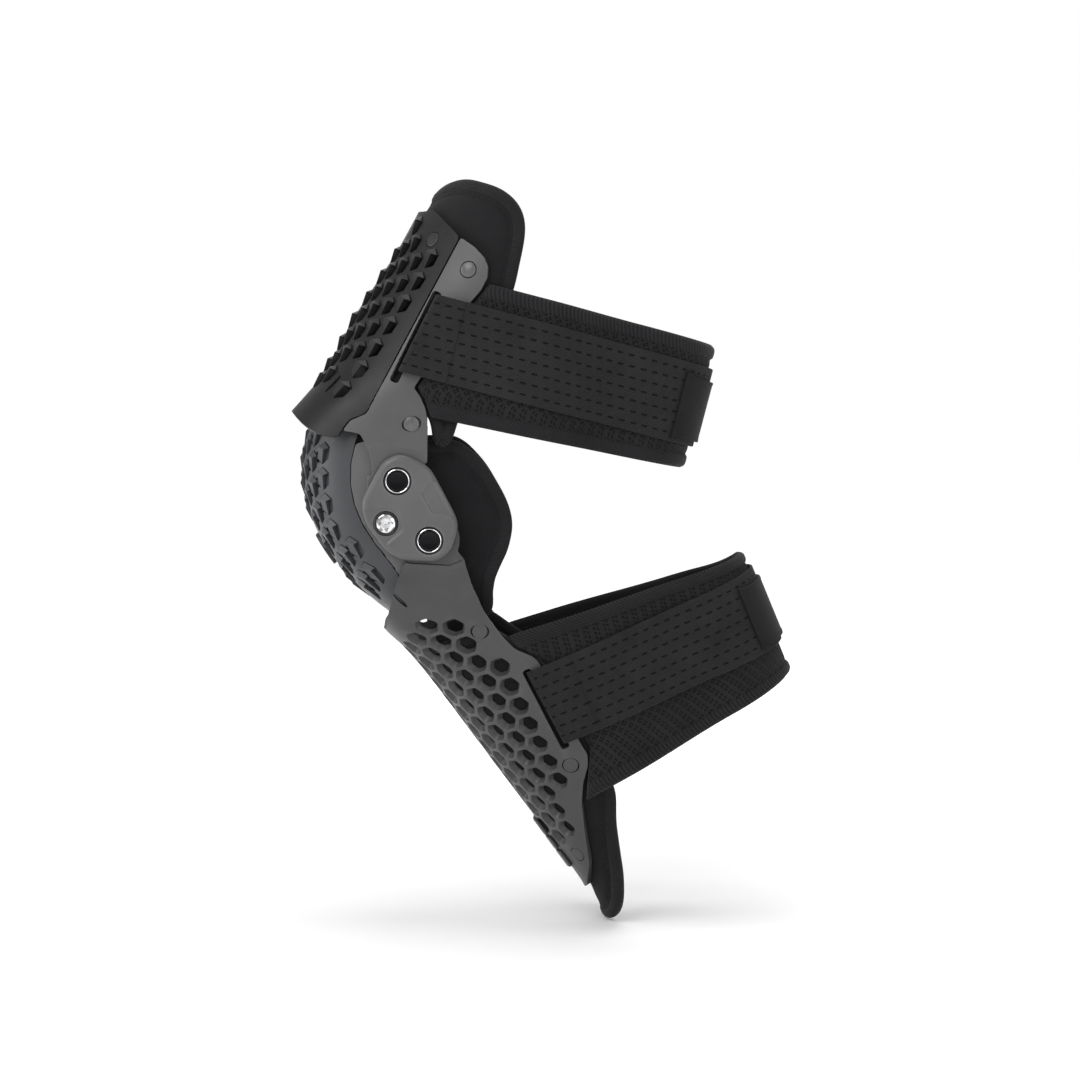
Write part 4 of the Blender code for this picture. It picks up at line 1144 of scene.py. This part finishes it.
def buildShinPlate(look):
    path = look["outline"] + gearEnd(hinge["lower"], hinge["upper"], look["gearFrom"], look["gearTo"])
    outline = wholeOutline(shinShell, path, 1.2, 1.4)
    first = unroll(shinShell, [look["firstWindow"]])[0][0]
    turn = math.radians(look["turn"])
    pitch = look["pitch"]
    down = (pitch * math.sin(turn), pitch * math.cos(turn))
    back = (pitch * math.sin(turn + math.pi / 3), pitch * math.cos(turn + math.pi / 3))
    centres = lattice(first, down, back, 18)
    centres = centres[centres[:, 0] > look["middleBand"]]
    centres = centres[inside(centres, outline)]
    centres = centres[inside(sideOf(shinShell, centres), np.array(look["field"], float))]
    rivets = [unroll(shinShell, [spot])[0][0] for spot in look["rivets"]]
    slot = slotHole(shinShell, look["slot"])
    for spot in rivets:
        centres = centres[np.linalg.norm(centres - spot, axis=1) > look["rivetClear"]]
    for line in (slot, outline):
        centres = centres[distanceTo(centres, line) > look["margin"]]
    angles = turn + math.pi / 6 + np.arange(6) * math.pi / 3
    corners = np.stack((np.sin(angles), np.cos(angles)), axis=1) * look["windowRadius"]
    windows = []
    for centre in bothSides(centres):
        side = 1 if centre[0] > 0 else -1
        windows.append(centre + densified(rounded(corners, 0.9, 3), 2.2) * (side, 1))
    holes = list(windows)
    vent = ventHole(shinShell, look["vent"], *look["ventHalf"])
    pivot = unroll(shinShell, [hinge["lower"]])[0][0]
    for _, side in sides:
        holes += [slot * (side, 1), holeRound(pivot * (side, 1), hinge["armHole"])]
        holes += [holeRound(spot * (side, 1), rivetHole) for spot in rivets]
        holes.append(vent * (side, 1))
    flange = densified(look["flange"], 1.2, False)
    rows = [unroll(shinShell, flange - (0, below))[0] * (side, 1)
            for below in (-0.7, 0.0, 0.9, 2.4, 3.4, 5.0) for _, side in sides]
    flat, faces = region(outline, holes, 2.8, clearOf(rows, outline, holes))
    at = sideOf(shinShell, np.abs(flat))
    line = np.interp(at[:, 0], [p[0] for p in look["flange"]], [p[1] for p in look["flange"]])
    below = line - at[:, 1]
    hollow = 0.55 * smoothStep(below, 1.0, 2.6) * (1 - smoothStep(below, 5.0, 14.0))
    lift = -1.1 * smoothStep(-below, -0.1, 0.6) - hollow
    lift = np.where((at[:, 1] < -48) | (at[:, 0] < -14), 0, lift)
    outer = pointAt(shinShell, flat[:, 0], flat[:, 1], lift)
    innerFlat = flat.copy()
    for window in windows:
        middle = window.mean(axis=0)
        near = np.linalg.norm(flat - middle, axis=1) < look["windowRadius"] * 1.02
        slant = (math.copysign(look["slant"], middle[0]), look["slant"] * 0.3)
        innerFlat[near] = middle + (flat[near] - middle) * look["taper"] + slant
    inner = pointAt(shinShell, innerFlat[:, 0], innerFlat[:, 1], -look["thickness"])
    piece = softEdges(thickSheet("shin_plate_shell", flat, faces, outer, inner, shinShell["flip"] < 0),
                      0.45)
    place(piece, "shin", "shin_plate", shinGrey, "shin_plate")
    return len(windows)


print("shin windows:", buildShinPlate(shinPlate))
for sideName, side in sides:
    for number, spot in enumerate(shinPlate["rivets"], 1):
        rivetHead(f"shin_rivet_head_{sideName}_{number}", shinShell, spot, side, "shin",
                  flushRivet, shinRivet, "rivet", f"shin_rivet_{sideName}_{number}")

shinBars = {"places": ((210.5, 11.5), (222.8, 9.5), (235.3, 12.5)), "half": 14.0, "proud": 2.1,
            "from": 0.3}
for number, (middle, length) in enumerate(shinBars["places"], 1):
    half, long = shinBars["half"], length / 2
    shape = densified(rounded([(-half, middle - long), (half, middle - long), (half, middle + long),
                               (-half, middle + long)], 1.5), 1.5)
    flat, faces = region(shape, [], 2.2)
    outer = pointAt(shinShell, flat[:, 0], flat[:, 1], shinBars["proud"])
    inner = pointAt(shinShell, flat[:, 0], flat[:, 1], shinBars["from"])
    bar = softEdges(thickSheet(f"shin_bar_block_{number}", flat, faces, outer, inner,
                               shinShell["flip"] < 0), 0.6)
    place(bar, "shin", "shin_plate", shinGrey, f"shin_bar_{number}")
print("shin plate ready")


# Liners: foam faced with knit, edged with sewn tape, stitched a little way in

# a flattened tube along a line of points; across and up are unit vectors at each point
def sweptTube(name, path, across, up, halfWidth, halfHeight, look, closed=True, steps=14, power=2.6):
    count = len(path)
    turn = np.arange(steps) * 2 * math.pi / steps
    c, s = np.cos(turn), np.sin(turn)
    a = np.sign(c) * np.abs(c) ** (2 / power) * halfWidth
    b = np.sign(s) * np.abs(s) ** (2 / power) * halfHeight
    grid = path[:, None, :] + across[:, None, :] * a[None, :, None] + up[:, None, :] * b[None, :, None]
    faces = []
    for k in range(count if closed else count - 1):
        n = (k + 1) % count
        for j in range(steps):
            m = (j + 1) % steps
            faces.append((k * steps + j, n * steps + j, n * steps + m, k * steps + m))
    if not closed:
        faces += [tuple(range(steps - 1, -1, -1)), tuple((count - 1) * steps + j for j in range(steps))]
    mesh = bpy.data.meshes.new(name)
    mesh.from_pydata((grid.reshape(-1, 3) * mm).tolist(), [], faces)
    run = np.concatenate(([0], np.cumsum(np.linalg.norm(np.diff(path, axis=0), axis=1))))
    flat = np.stack((np.repeat(run, steps), np.tile(a, count)), axis=1)
    setFlat(mesh, flat)
    faceOut(mesh)
    mesh.shade_smooth()
    made = addObject(name, mesh)
    made.data.materials.append(look)
    return made


# short raised threads along a line, each a six-sided bead with tapered ends
def stitches(name, path, up, look, length=2.6, skip=1.5, width=0.42, closed=True):
    line = np.vstack((path, path[:1])) if closed else path
    ups = np.vstack((up, up[:1])) if closed else up
    run = np.concatenate(([0], np.cumsum(np.linalg.norm(np.diff(line, axis=0), axis=1))))
    points, faces, flat = [], [], []
    starts = np.arange(0, run[-1] - length, length + skip)
    for start in starts:
        stations = np.array([0, 0.15, 0.5, 0.85, 1.0]) * length + start
        centre = np.stack([np.interp(stations, run, line[:, k]) for k in range(3)], axis=1)
        lift = np.stack([np.interp(stations, run, ups[:, k]) for k in range(3)], axis=1)
        lift /= np.linalg.norm(lift, axis=1, keepdims=True)
        along = centre[-1] - centre[0]
        along /= np.linalg.norm(along)
        beside = np.cross(lift, along)
        sizes = np.array([0.35, 0.9, 1.0, 0.9, 0.35]) * width
        n = len(points)
        for k in range(5):
            for j in range(6):
                angle = j * math.pi / 3
                sideways = beside[k] * math.cos(angle) * sizes[k]
                points.append(centre[k] + sideways + lift[k] * math.sin(angle) * sizes[k] * 0.8)
                flat.append((stations[k], j * 0.3))
        for k in range(4):
            for j in range(6):
                m = (j + 1) % 6
                faces.append((n + k * 6 + j, n + (k + 1) * 6 + j, n + (k + 1) * 6 + m, n + k * 6 + m))
        faces += [tuple(n + j for j in range(5, -1, -1)), tuple(n + 24 + j for j in range(6))]
    mesh = bpy.data.meshes.new(name)
    mesh.from_pydata((np.array(points) * mm).tolist(), [], faces)
    setFlat(mesh, np.array(flat))
    mesh.shade_smooth()
    made = addObject(name, mesh)
    made.data.materials.append(look)
    return made


# slow uneven waves in the foam, the same on each run
def puckers(flat, size):
    u, v = flat[:, 0], flat[:, 1]
    slow = np.sin(u * 0.083 + 1.1 * np.sin(v * 0.05)) * np.sin(v * 0.071 + 0.6)
    return size * (slow + 0.5 * np.sin(u * 0.19 + v * 0.13))


# outer and inner faces crowned to the edge; the tape wraps the edge all round
def buildLiner(name, shell, outline, look, body, face, node):
    tape, thick = look["tape"], look["thickness"]
    inner = eased(densified(insetLine(outline, tape * 0.55), 2.2))
    rings = [insetLine(inner, amount) for amount in look["rings"]]
    flat, faces = region(inner, [], 3.2, rings)
    away = distanceTo(flat, inner)
    crown = -1.5 * np.exp(-away / 2.6)
    seam = look["seam"] - tape * 0.55
    groove = -0.75 * np.exp(-((away - seam) / 1.1) ** 2)
    wavy = puckers(flat, look["puckers"]) * smoothStep(away, 4, 14)
    shift = look.get("shift")
    outer = pointAt(shell, flat[:, 0], flat[:, 1], look["face"] + crown + groove + wavy * 0.5)
    back = pointAt(shell, flat[:, 0], flat[:, 1],
                   look["face"] - thick - crown * 0.8 - groove * 0.6 + wavy)
    if shift:
        outer, back = shift(outer), shift(back)
    foam = thickSheet(name + "_foam", flat, faces, outer, back, shell["flip"] < 0)
    foam.data.materials.append(face)
    middle = eased(densified(insetLine(outline, tape * 0.45), 1.6), 14)

    def frameOn(line, lift):
        at = pointAt(shell, line[:, 0], line[:, 1], lift)
        up = normalAt(shell, line[:, 0], line[:, 1])
        if shift:
            at = shift(at)
        along = np.roll(at, -1, axis=0) - np.roll(at, 1, axis=0)
        along /= np.linalg.norm(along, axis=1, keepdims=True)
        beside = np.cross(up, along)
        beside /= np.linalg.norm(beside, axis=1, keepdims=True)
        return at, beside, up

    at, beside, up = frameOn(middle, look["face"] - thick / 2)
    tube = sweptTube(name + "_tape", at, beside, up, tape / 2, thick / 2 + 0.25, edgeTape)
    made = [foam, tube]
    for row, distance in enumerate(look["rows"]):
        line = eased(densified(insetLine(outline, distance), 1.5), 10)
        for lift, direction in ((look["face"] - 0.72, 1), (look["face"] - thick + 0.55, -1)):
            at, beside, up = frameOn(line, lift)
            made.append(stitches(f"{name}_stitch_{row}_{direction}", at, up, stitchThread))
    whole = joined(name, made)
    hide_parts(node)
    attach(whole, body)
    return whole


thighLiner = {
    "outline": [
        (4.2, 181.0), (6.7, 190.5), (11.8, 197.6), (20.0, 201.4), (29.9, 201.8), (49.7, 194.5),
        (60.6, 186.0), (66.2, 176.0), (66.6, 164.0), (63.5, 147.3), (60.5, 132.5), (26.6, 54.0),
        (24.2, 43.5), (20.9, 37.6), (15.0, 34.6), (11.6, 37.4), (10.6, 54.0), (0.0, 68.0),
        (-22, 80), (-50, 97), (-100, 124), (-100, 140), (-30, 190),
    ],
    "face": -4.1, "thickness": 6.5, "tape": 8.0, "seam": 9.6, "rings": (1.5, 3.5, 5.2, 6.6, 9.0),
    "rows": (9.6,), "puckers": 0.5, "fill": 0.45,
}
kneeLiner = {
    "outline": [
        (-100, 45), (-40, 48), (-24.0, 44.5), (-8.0, 42.5), (10.0, 41.5), (24.7, 43.1),
        (33.9, 38.2), (46.8, 23.1), (57.0, 4.6), (60.8, -9.5), (58.4, -24.7), (53.0, -37.7),
        (50.4, -48.0), (50.2, -57.0), (52.6, -66.0), (49.0, -71.0), (36.0, -70.0), (24.0, -62.5),
        (-6.0, -61.0), (-60.0, -61.0), (-100, -20),
    ],
    "face": -3.1, "thickness": 6.0, "tape": 8.5, "seam": 10.4, "rings": (1.5, 3.5, 5.4, 7.0, 9.5),
    "rows": (10.4,), "puckers": 0.4, "fill": 0.45, "rearInset": 5.0,
}
shinLiner = {
    "outline": [
        (47.0, -71.0), (62.0, -82.0), (78.0, -92.0), (112.0, -154.3), (124.5, -175.1),
        (123.3, -196.5), (125.7, -229.6), (125.0, -252.7), (121.6, -261.4), (117.0, -265.1),
        (112.4, -260.4), (107.7, -245.9), (60, -245.8), (-60, -131.4), (-20, -100.2), (14, -84),
    ],
    "face": -4.1, "thickness": 6.5, "tape": 8.0, "seam": 9.6, "rings": (1.5, 3.5, 5.2, 6.6, 9.0),
    "rows": (9.6,), "puckers": 0.4, "fill": 0.45,
}


# the knee liner's wings stand in from the shell towards the back
def rearIn(points):
    back = np.clip((points[:, 1] + 26.0) / 40.0, 0.0, 1.0)
    moved = points.copy()
    moved[:, 0] -= np.sign(points[:, 0]) * kneeLiner["rearInset"] * back
    return moved


kneeLiner["shift"] = rearIn
for name, shell, look, body, face, node in (
    ("thigh_liner_pad", thighShell, thighLiner, "thigh", linerKnit, "thigh_liner"),
    ("knee_liner_pad", kneeShell, kneeLiner, "knee", linerSkin, "knee_liner"),
    ("shin_liner_pad", shinShell, shinLiner, "shin", linerKnit, "shin_liner"),
):
    buildLiner(name, shell, wholeOutline(shell, look["outline"], 5.0), look, body, face, node)
    print(name, "ready")

# Straps: mesh pads round the back of the leg, elastic webbing over them, a hook tab at the rear
thighLoop = {
    "centre": (1.7, 104.0), "run": (0.968, -0.252), "length": 178.0, "straight": 72.0, "halfWidth": 67.9,
    "rearHalfWidth": 48.0, "lean": 0.056, "slotSlope": 0.215, "slotInner": 68.4,
    "slotBack": 1.5, "middle": 2.8,
    "padStarts": [(-44.5, 20.5), (-34.0, 13.5), (-29.5, 8.5), (27.4, 28.0), (36.7, 32.5), (41.0, 34.5)],
    "padRear": (-36.0, 41.5),
}
shinLoop = {
    "centre": (80.4, -120.8), "run": (0.923, 0.385), "length": 147.0, "straight": 30.0,
    "halfWidth": 57.6, "rearHalfWidth": 42.0, "lean": 0.095, "slotSlope": -0.09,
    "slotInner": 59.4, "slotBack": 0.6, "middle": 0.0,
    "padStarts": [(-63.0, 0.9), (-50.0, 7.6), (-35.0, 15.3), (0.0, 15.0), (28.0, 9.5), (40.0, -1.5),
                  (49.0, -5.5)],
    "padRear": (-46.0, 35.0),
}
strapLook = {"thick": 2.0, "half": 25.0, "pad": 4.5, "padGap": 0.6, "tab": 1.6, "tabGap": 0.3,
             "fold": 25.0, "foldProud": 0.7, "farDrop": 6.0}
loopSteps = {"side": 22, "turn": 25, "back": 49, "tabFrom": 10, "tab": 21}


# one loop in plan as (x, back), from the outer side round to the inner side; same count for any start
def loopLine(loop, start):
    side, rear = loop["halfWidth"], loop["rearHalfWidth"]
    turn = loop["length"] - rear
    half = [(side, start + (loop["straight"] - start) * t) for t in np.linspace(0, 1, loopSteps["side"])]
    for share in np.linspace(0, 1, loopSteps["turn"] + 1)[1:]:
        ease = share * share * (3 - 2 * share)
        half.append((side + (rear - side) * ease, loop["straight"] + (turn - loop["straight"]) * share))
    angles = np.linspace(0, math.pi, loopSteps["back"] + 2)[1:-1]
    back = [(rear * math.cos(a), turn + rear * math.sin(a)) for a in angles]
    return np.array(half + back + [(-x, y) for x, y in reversed(half)])


def outsetLine(line, outset):
    along = np.gradient(line, axis=0)
    across = np.stack((along[:, 1], -along[:, 0]), axis=1)
    across /= np.linalg.norm(across, axis=1, keepdims=True)
    return line + across * np.asarray(outset)[..., None]


# plan points and a height across the strap, in space
def inLoop(loop, line, upFront, upRear, farDrop=0.0):
    (ry, rz), (cy, cz) = loop["run"], loop["centre"]
    x, back = line[:, 0], line[:, 1]
    share = np.clip(back / loop["length"], 0, 1)
    up = upFront + (upRear - upFront) * share
    up = up - farDrop * smoothStep(-x, 0, 40) * np.clip(up / 20, 0, 1)
    wide = x + np.sign(x) * loop["lean"] * up * (1 - share)
    return np.stack((wide, cy + back * ry - up * rz, cz + back * rz + up * ry), axis=1)


# a closed band: section is a ring of (height at slot, height at rear, outset, v)
def bandMesh(name, loop, section, lineOf, keep=slice(None), look=None, roll=0.0):
    columns, flat = [], []
    for upFront, upRear, outset, v in section:
        line = lineOf(upFront)
        if roll:
            along = np.concatenate(([0], np.cumsum(np.linalg.norm(np.diff(line, axis=0), axis=1))))
            end = np.clip(np.minimum(along, along[-1] - along) / roll, 0, 1)
            outset = 0.3 + (outset - 0.3) * (0.12 + 0.88 * np.sqrt(1 - (1 - end) ** 2))
        line = outsetLine(line, outset)[keep]
        at = inLoop(loop, line, upFront, upRear, strapLook["farDrop"] if roll else 0.0)
        columns.append(at)
        run = np.concatenate(([0], np.cumsum(np.linalg.norm(np.diff(at, axis=0), axis=1))))
        flat.append(np.stack((run, np.full(len(run), v)), axis=1))
    grid, flat = np.stack(columns, axis=1), np.stack(flat, axis=1)
    count, around = grid.shape[:2]
    faces = [
        (k * around + j, (k + 1) * around + j, (k + 1) * around + (j + 1) % around,
         k * around + (j + 1) % around)
        for k in range(count - 1) for j in range(around)
    ]
    last = (count - 1) * around
    for j in range(around // 2 - 1):
        cap = (j, around - 1 - j, around - 2 - j, j + 1)
        faces += [cap, tuple(last + k for k in reversed(cap))]
    mesh = bpy.data.meshes.new(name)
    mesh.from_pydata((grid.reshape(-1, 3) * mm).tolist(), [], faces)
    setFlat(mesh, flat.reshape(-1, 2))
    faceOut(mesh)
    mesh.shade_smooth()
    mesh.set_sharp_from_angle(angle=math.radians(50))
    made = addObject(name, mesh)
    made.data.materials.append(look)
    return made


# up the outer face then down the inner one
def ringSection(heights, outer, inner, rearOf=None):
    rearOf = rearOf or (lambda up: up)
    ring = [(up, rearOf(up), out, up) for up, out in zip(heights, outer)]
    ring += [(up, rearOf(up), out, up) for up, out in zip(heights[::-1], inner[::-1])]
    return ring


def buildPad(name, loop, body, node):
    ups = [p[0] for p in loop["padStarts"]]
    low, high = ups[0], ups[-1]
    lowRear, highRear = loop["padRear"]

    def rearOf(up):
        return lowRear + (highRear - lowRear) * (up - low) / (high - low)

    def lineOf(up):
        return loopLine(loop, np.interp(up, ups, [p[1] for p in loop["padStarts"]]))

    thick = strapLook["pad"]
    heights = low + (high - low) * (0.5 - 0.5 * np.cos(np.linspace(0, math.pi, 33)))
    edge = np.minimum(heights - low, high - heights)
    rounding = np.sqrt(np.clip(1 - (1 - np.clip(edge / 2.6, 0, 1)) ** 2, 0, 1))
    groove = 0.8 * np.exp(-((edge - 9.6) / 1.0) ** 2)
    swell = 0.35 * smoothStep(edge, 10, 18)
    rise = np.where(edge > 12, -0.1, 0.25 * smoothStep(edge, 1, 4))
    outer = thick / 2 + (thick / 2 - 0.3) * rounding - groove + rise
    inner = thick / 2 - (thick / 2 - 0.2) * rounding + groove * 0.8 - swell
    made = [bandMesh(name + "_body", loop, ringSection(heights, outer, inner, rearOf), lineOf,
                     look=padMesh, roll=6.0)]
    for label, edgeAt, sign in (("low", low, 1), ("high", high, -1)):
        across = np.linspace(0, 1, 9)
        hs = edgeAt + sign * (-0.7 + 9.4 * (0.5 - 0.5 * np.cos(across * math.pi)))
        lift = 0.75 * np.sin(across * math.pi) ** 0.4
        outerTape = np.interp(hs, heights, outer) + lift
        innerTape = np.interp(hs, heights, inner) - lift * 0.7
        outerTape[0] = innerTape[0] = thick / 2
        order = slice(None) if sign > 0 else slice(None, None, -1)
        ring = ringSection(hs[order], outerTape[order], innerTape[order], rearOf)
        made.append(bandMesh(f"{name}_{label}", loop, ring, lineOf, look=padTape, roll=6.0))
    whole = joined(name, made)
    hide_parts(node)
    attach(whole, body)


# the webbing's plan line with its two ends led in through the slots
def strapLine(loop, up):
    outset = strapLook["pad"] + strapLook["padGap"] + strapLook["thick"] / 2
    line = outsetLine(loopLine(loop, 0.0), outset)
    first = loop["slotSlope"] * up - strapLook["thick"] / 2 + loop["slotBack"]
    x = line[0, 0]
    lead = np.array([(loop["slotInner"] + 0.5, first + 0.5), (x - 2.6, first + 0.6),
                     (x - 1.2, first + 1.4), (x - 0.3, first + 3.2), (x, first + 6.0)])
    body = line[line[:, 1] > 14.5]
    return np.vstack((lead, body, lead[::-1] * (-1, 1)))


def buildStrap(name, loop, body, node):
    half, thick, middle = strapLook["half"], strapLook["thick"], loop["middle"]
    count = len(strapLine(loop, 0.0))
    heights = np.concatenate(([-half], np.linspace(-half + 0.5, half - 0.5, 25), [half]))
    edge = np.minimum(heights + half, half - heights)
    face = thick / 2 * np.where(edge < 0.4, 0.35, 1.0)
    ring = [(u + middle, u + middle, o, u) for u, o in zip(heights, face)]
    ring += [(u + middle, u + middle, o, u) for u, o in zip(heights[::-1], -face[::-1])]

    def lineOf(up):
        return strapLine(loop, up - middle)

    strap = bandMesh(name, loop, ring, lineOf, look=strapElastic)
    made = [strap]
    run = strapLine(loop, 0.0)
    folded = np.where((run[:, 0] > 0) & (run[:, 1] > 2.0) & (run[:, 1] < strapLook["fold"]))[0]
    for end in (slice(folded[0], folded[-1] + 1), slice(count - 1 - folded[-1], count - folded[0])):
        hs = np.concatenate(([-half + 0.2], np.linspace(-half + 0.7, half - 0.7, 17), [half - 0.2]))
        proud = [strapLook["foldProud"] * (0.4 if k in (0, 18) else 1) for k in range(len(hs))]
        ring = [(u + middle, u + middle, thick / 2 + p, u) for u, p in zip(hs, proud)]
        ring += [(u + middle, u + middle, thick / 2 - 0.1, u) for u in hs[::-1]]
        made.append(bandMesh(name + "_fold", loop, ring, lineOf, end, look=strapElastic))
    whole = joined(name, made)
    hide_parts(node)
    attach(whole, body)


# the tab narrows towards its pull end, with a shallow crease across it
def taperTab(tab, loop, middle):
    (ry, rz), (cy, cz) = loop["run"], loop["centre"]
    rear = loop["length"]
    for corner in tab.data.vertices:
        y, z = corner.co.y / mm - cy, corner.co.z / mm - cz
        back, up = y * ry + z * rz, z * ry - y * rz - middle
        share = smoothStep(back, rear - 30, rear)
        cut = share * (0.30 if up > 0 else 0.10)
        crease = 0.9 * math.exp(-((back - (rear - 17 - 0.35 * up)) / 2.0) ** 2)
        up = up * (1 - cut) + middle
        y, z = back * ry - up * rz + cy, back * rz + up * ry + cz
        corner.co = (corner.co.x - math.copysign(crease, corner.co.x) * mm, y * mm, z * mm)


def buildTab(name, loop, body, node):
    half, middle = strapLook["half"] - 1.0, loop["middle"]
    inner = strapLook["pad"] + strapLook["padGap"] + strapLook["thick"] + strapLook["tabGap"]
    outer = inner + strapLook["tab"]
    line = loopLine(loop, 0.0)
    first = loopSteps["side"] + loopSteps["turn"] + loopSteps["tabFrom"]
    keep = slice(first, first + loopSteps["tab"])
    heights = np.linspace(-half, half, 31)
    edge = np.minimum(heights + half, half - heights)
    bead = 0.35 * np.exp(-((edge - 1.2) / 1.1) ** 2)
    ring = [(u + middle, u + middle, outer + b, u) for u, b in zip(heights, bead)]
    ring += [(u + middle, u + middle, inner, u) for u in heights[::-1]]
    tab = bandMesh(name, loop, ring, lambda up: line, keep, tabBlack)
    taperTab(tab, loop, middle)
    place(tab, body, "hook_tab", tabBlack, node)


for label, loop, body in (("thigh", thighLoop, "thigh"), ("shin", shinLoop, "shin")):
    buildPad(label + "_pad_mesh", loop, body, label + "_strap_pad")
    buildStrap(label + "_strap_web", loop, body, label + "_strap")
    buildTab(label + "_hook_tab", loop, body, label + "_strap_tab")
print("straps ready")

# Floor, light and camera
stage = {"floorGap": 0.0005, "reach": 12.0, "tone": (0.93, 0.93, 0.93), "glowFrom": 0.35, "glowTo": 1.3,
         "glow": 0.62}
view = {"target": (0.076, 0.0759, -0.0174), "distance": 1.530, "raise": 4.0, "swing": 2.5, "lens": 85.0,
        "sensor": 36.0}
lights = {
    "key": {"at": (1.1, -0.7, 1.0), "size": 1.0, "power": 13, "aim": (0, 0.02, 0)},
    "front": {"at": (0.1, -1.3, 0.2), "size": 0.9, "power": 6, "aim": (0, 0, 0)},
    "fill": {"at": (1.4, 0.9, 0.5), "size": 1.4, "power": 8, "aim": (0, 0.08, 0)},
    "top": {"at": (0.0, 0.2, 1.4), "size": 1.2, "power": 12, "aim": (0, 0.05, 0)},
    "behind": {"at": (-1.2, 0.3, 0.7), "size": 1.4, "power": 6, "aim": (0, 0.05, 0)},
}
worldLight = 0.42
floorLevel = cadBox[0][2] - stage["floorGap"]


def buildStage(look):
    mesh = bpy.data.meshes.new("floor")
    reach = look["reach"]
    corners = [(-reach, -reach), (reach, -reach), (reach, reach), (-reach, reach)]
    mesh.from_pydata([(x, y, floorLevel) for x, y in corners], [], [(0, 1, 2, 3)])
    floor = addObject("floor", mesh)
    made, tree, shader = startFinish("paleFloor", look["tone"], 0.85)
    tone = ranged(tree, noiseOf(tree, 1.5, 2), 0.3, 0.7, 0, 1)
    tree.links.new(mixColour(tree, tone, scaled(look["tone"], 0.985), look["tone"]),
                   shader.inputs["Base Color"])
    spot = tree.nodes.new("ShaderNodeTexCoord").outputs["Object"]
    away = tree.nodes.new("ShaderNodeVectorMath")
    away.operation = "LENGTH"
    tree.links.new(spot, away.inputs[0])
    shader.inputs["Emission Color"].default_value = (1.0, 1.0, 1.0, 1)
    glow = ranged(tree, away.outputs["Value"], look["glowFrom"], look["glowTo"], 0, look["glow"])
    tree.links.new(glow, shader.inputs["Emission Strength"])
    mesh.materials.append(made)


def buildLights(look):
    for name, one in look.items():
        data = bpy.data.lights.new(name, "AREA")
        data.shape = "DISK"
        data.size = one["size"]
        data.energy = one["power"]
        lamp = addObject(name, data)
        lamp.location = one["at"]
        toAim = Vector(one["aim"]) - Vector(one["at"])
        lamp.rotation_euler = toAim.to_track_quat("-Z", "Y").to_euler()
    world = bpy.data.worlds.new("studio")
    bpy.context.scene.world = world
    world.use_nodes = True
    tree = world.node_tree
    tree.nodes["Background"].inputs["Color"].default_value = (1.0, 1.0, 1.0, 1)
    seen = tree.nodes.new("ShaderNodeLightPath").outputs["Is Camera Ray"]
    tree.links.new(ranged(tree, seen, 0, 1, worldLight, 1.0),
                   tree.nodes["Background"].inputs["Strength"])


def buildCamera(look):
    data = bpy.data.cameras.new("camera")
    data.lens = look["lens"]
    data.sensor_width = look["sensor"]
    data.clip_end = 20
    camera = addObject("camera", data)
    up, swing = math.radians(look["raise"]), math.radians(look["swing"])
    back = Vector((math.cos(up) * math.cos(swing), -math.cos(up) * math.sin(swing), math.sin(up)))
    camera.location = Vector(look["target"]) + back * look["distance"]
    camera.rotation_euler = back.to_track_quat("Z", "Y").to_euler()
    bpy.context.scene.camera = camera


buildStage(stage)
buildLights(lights)
buildCamera(view)
bpy.context.scene.view_settings.view_transform = "Standard"
print("stage ready")
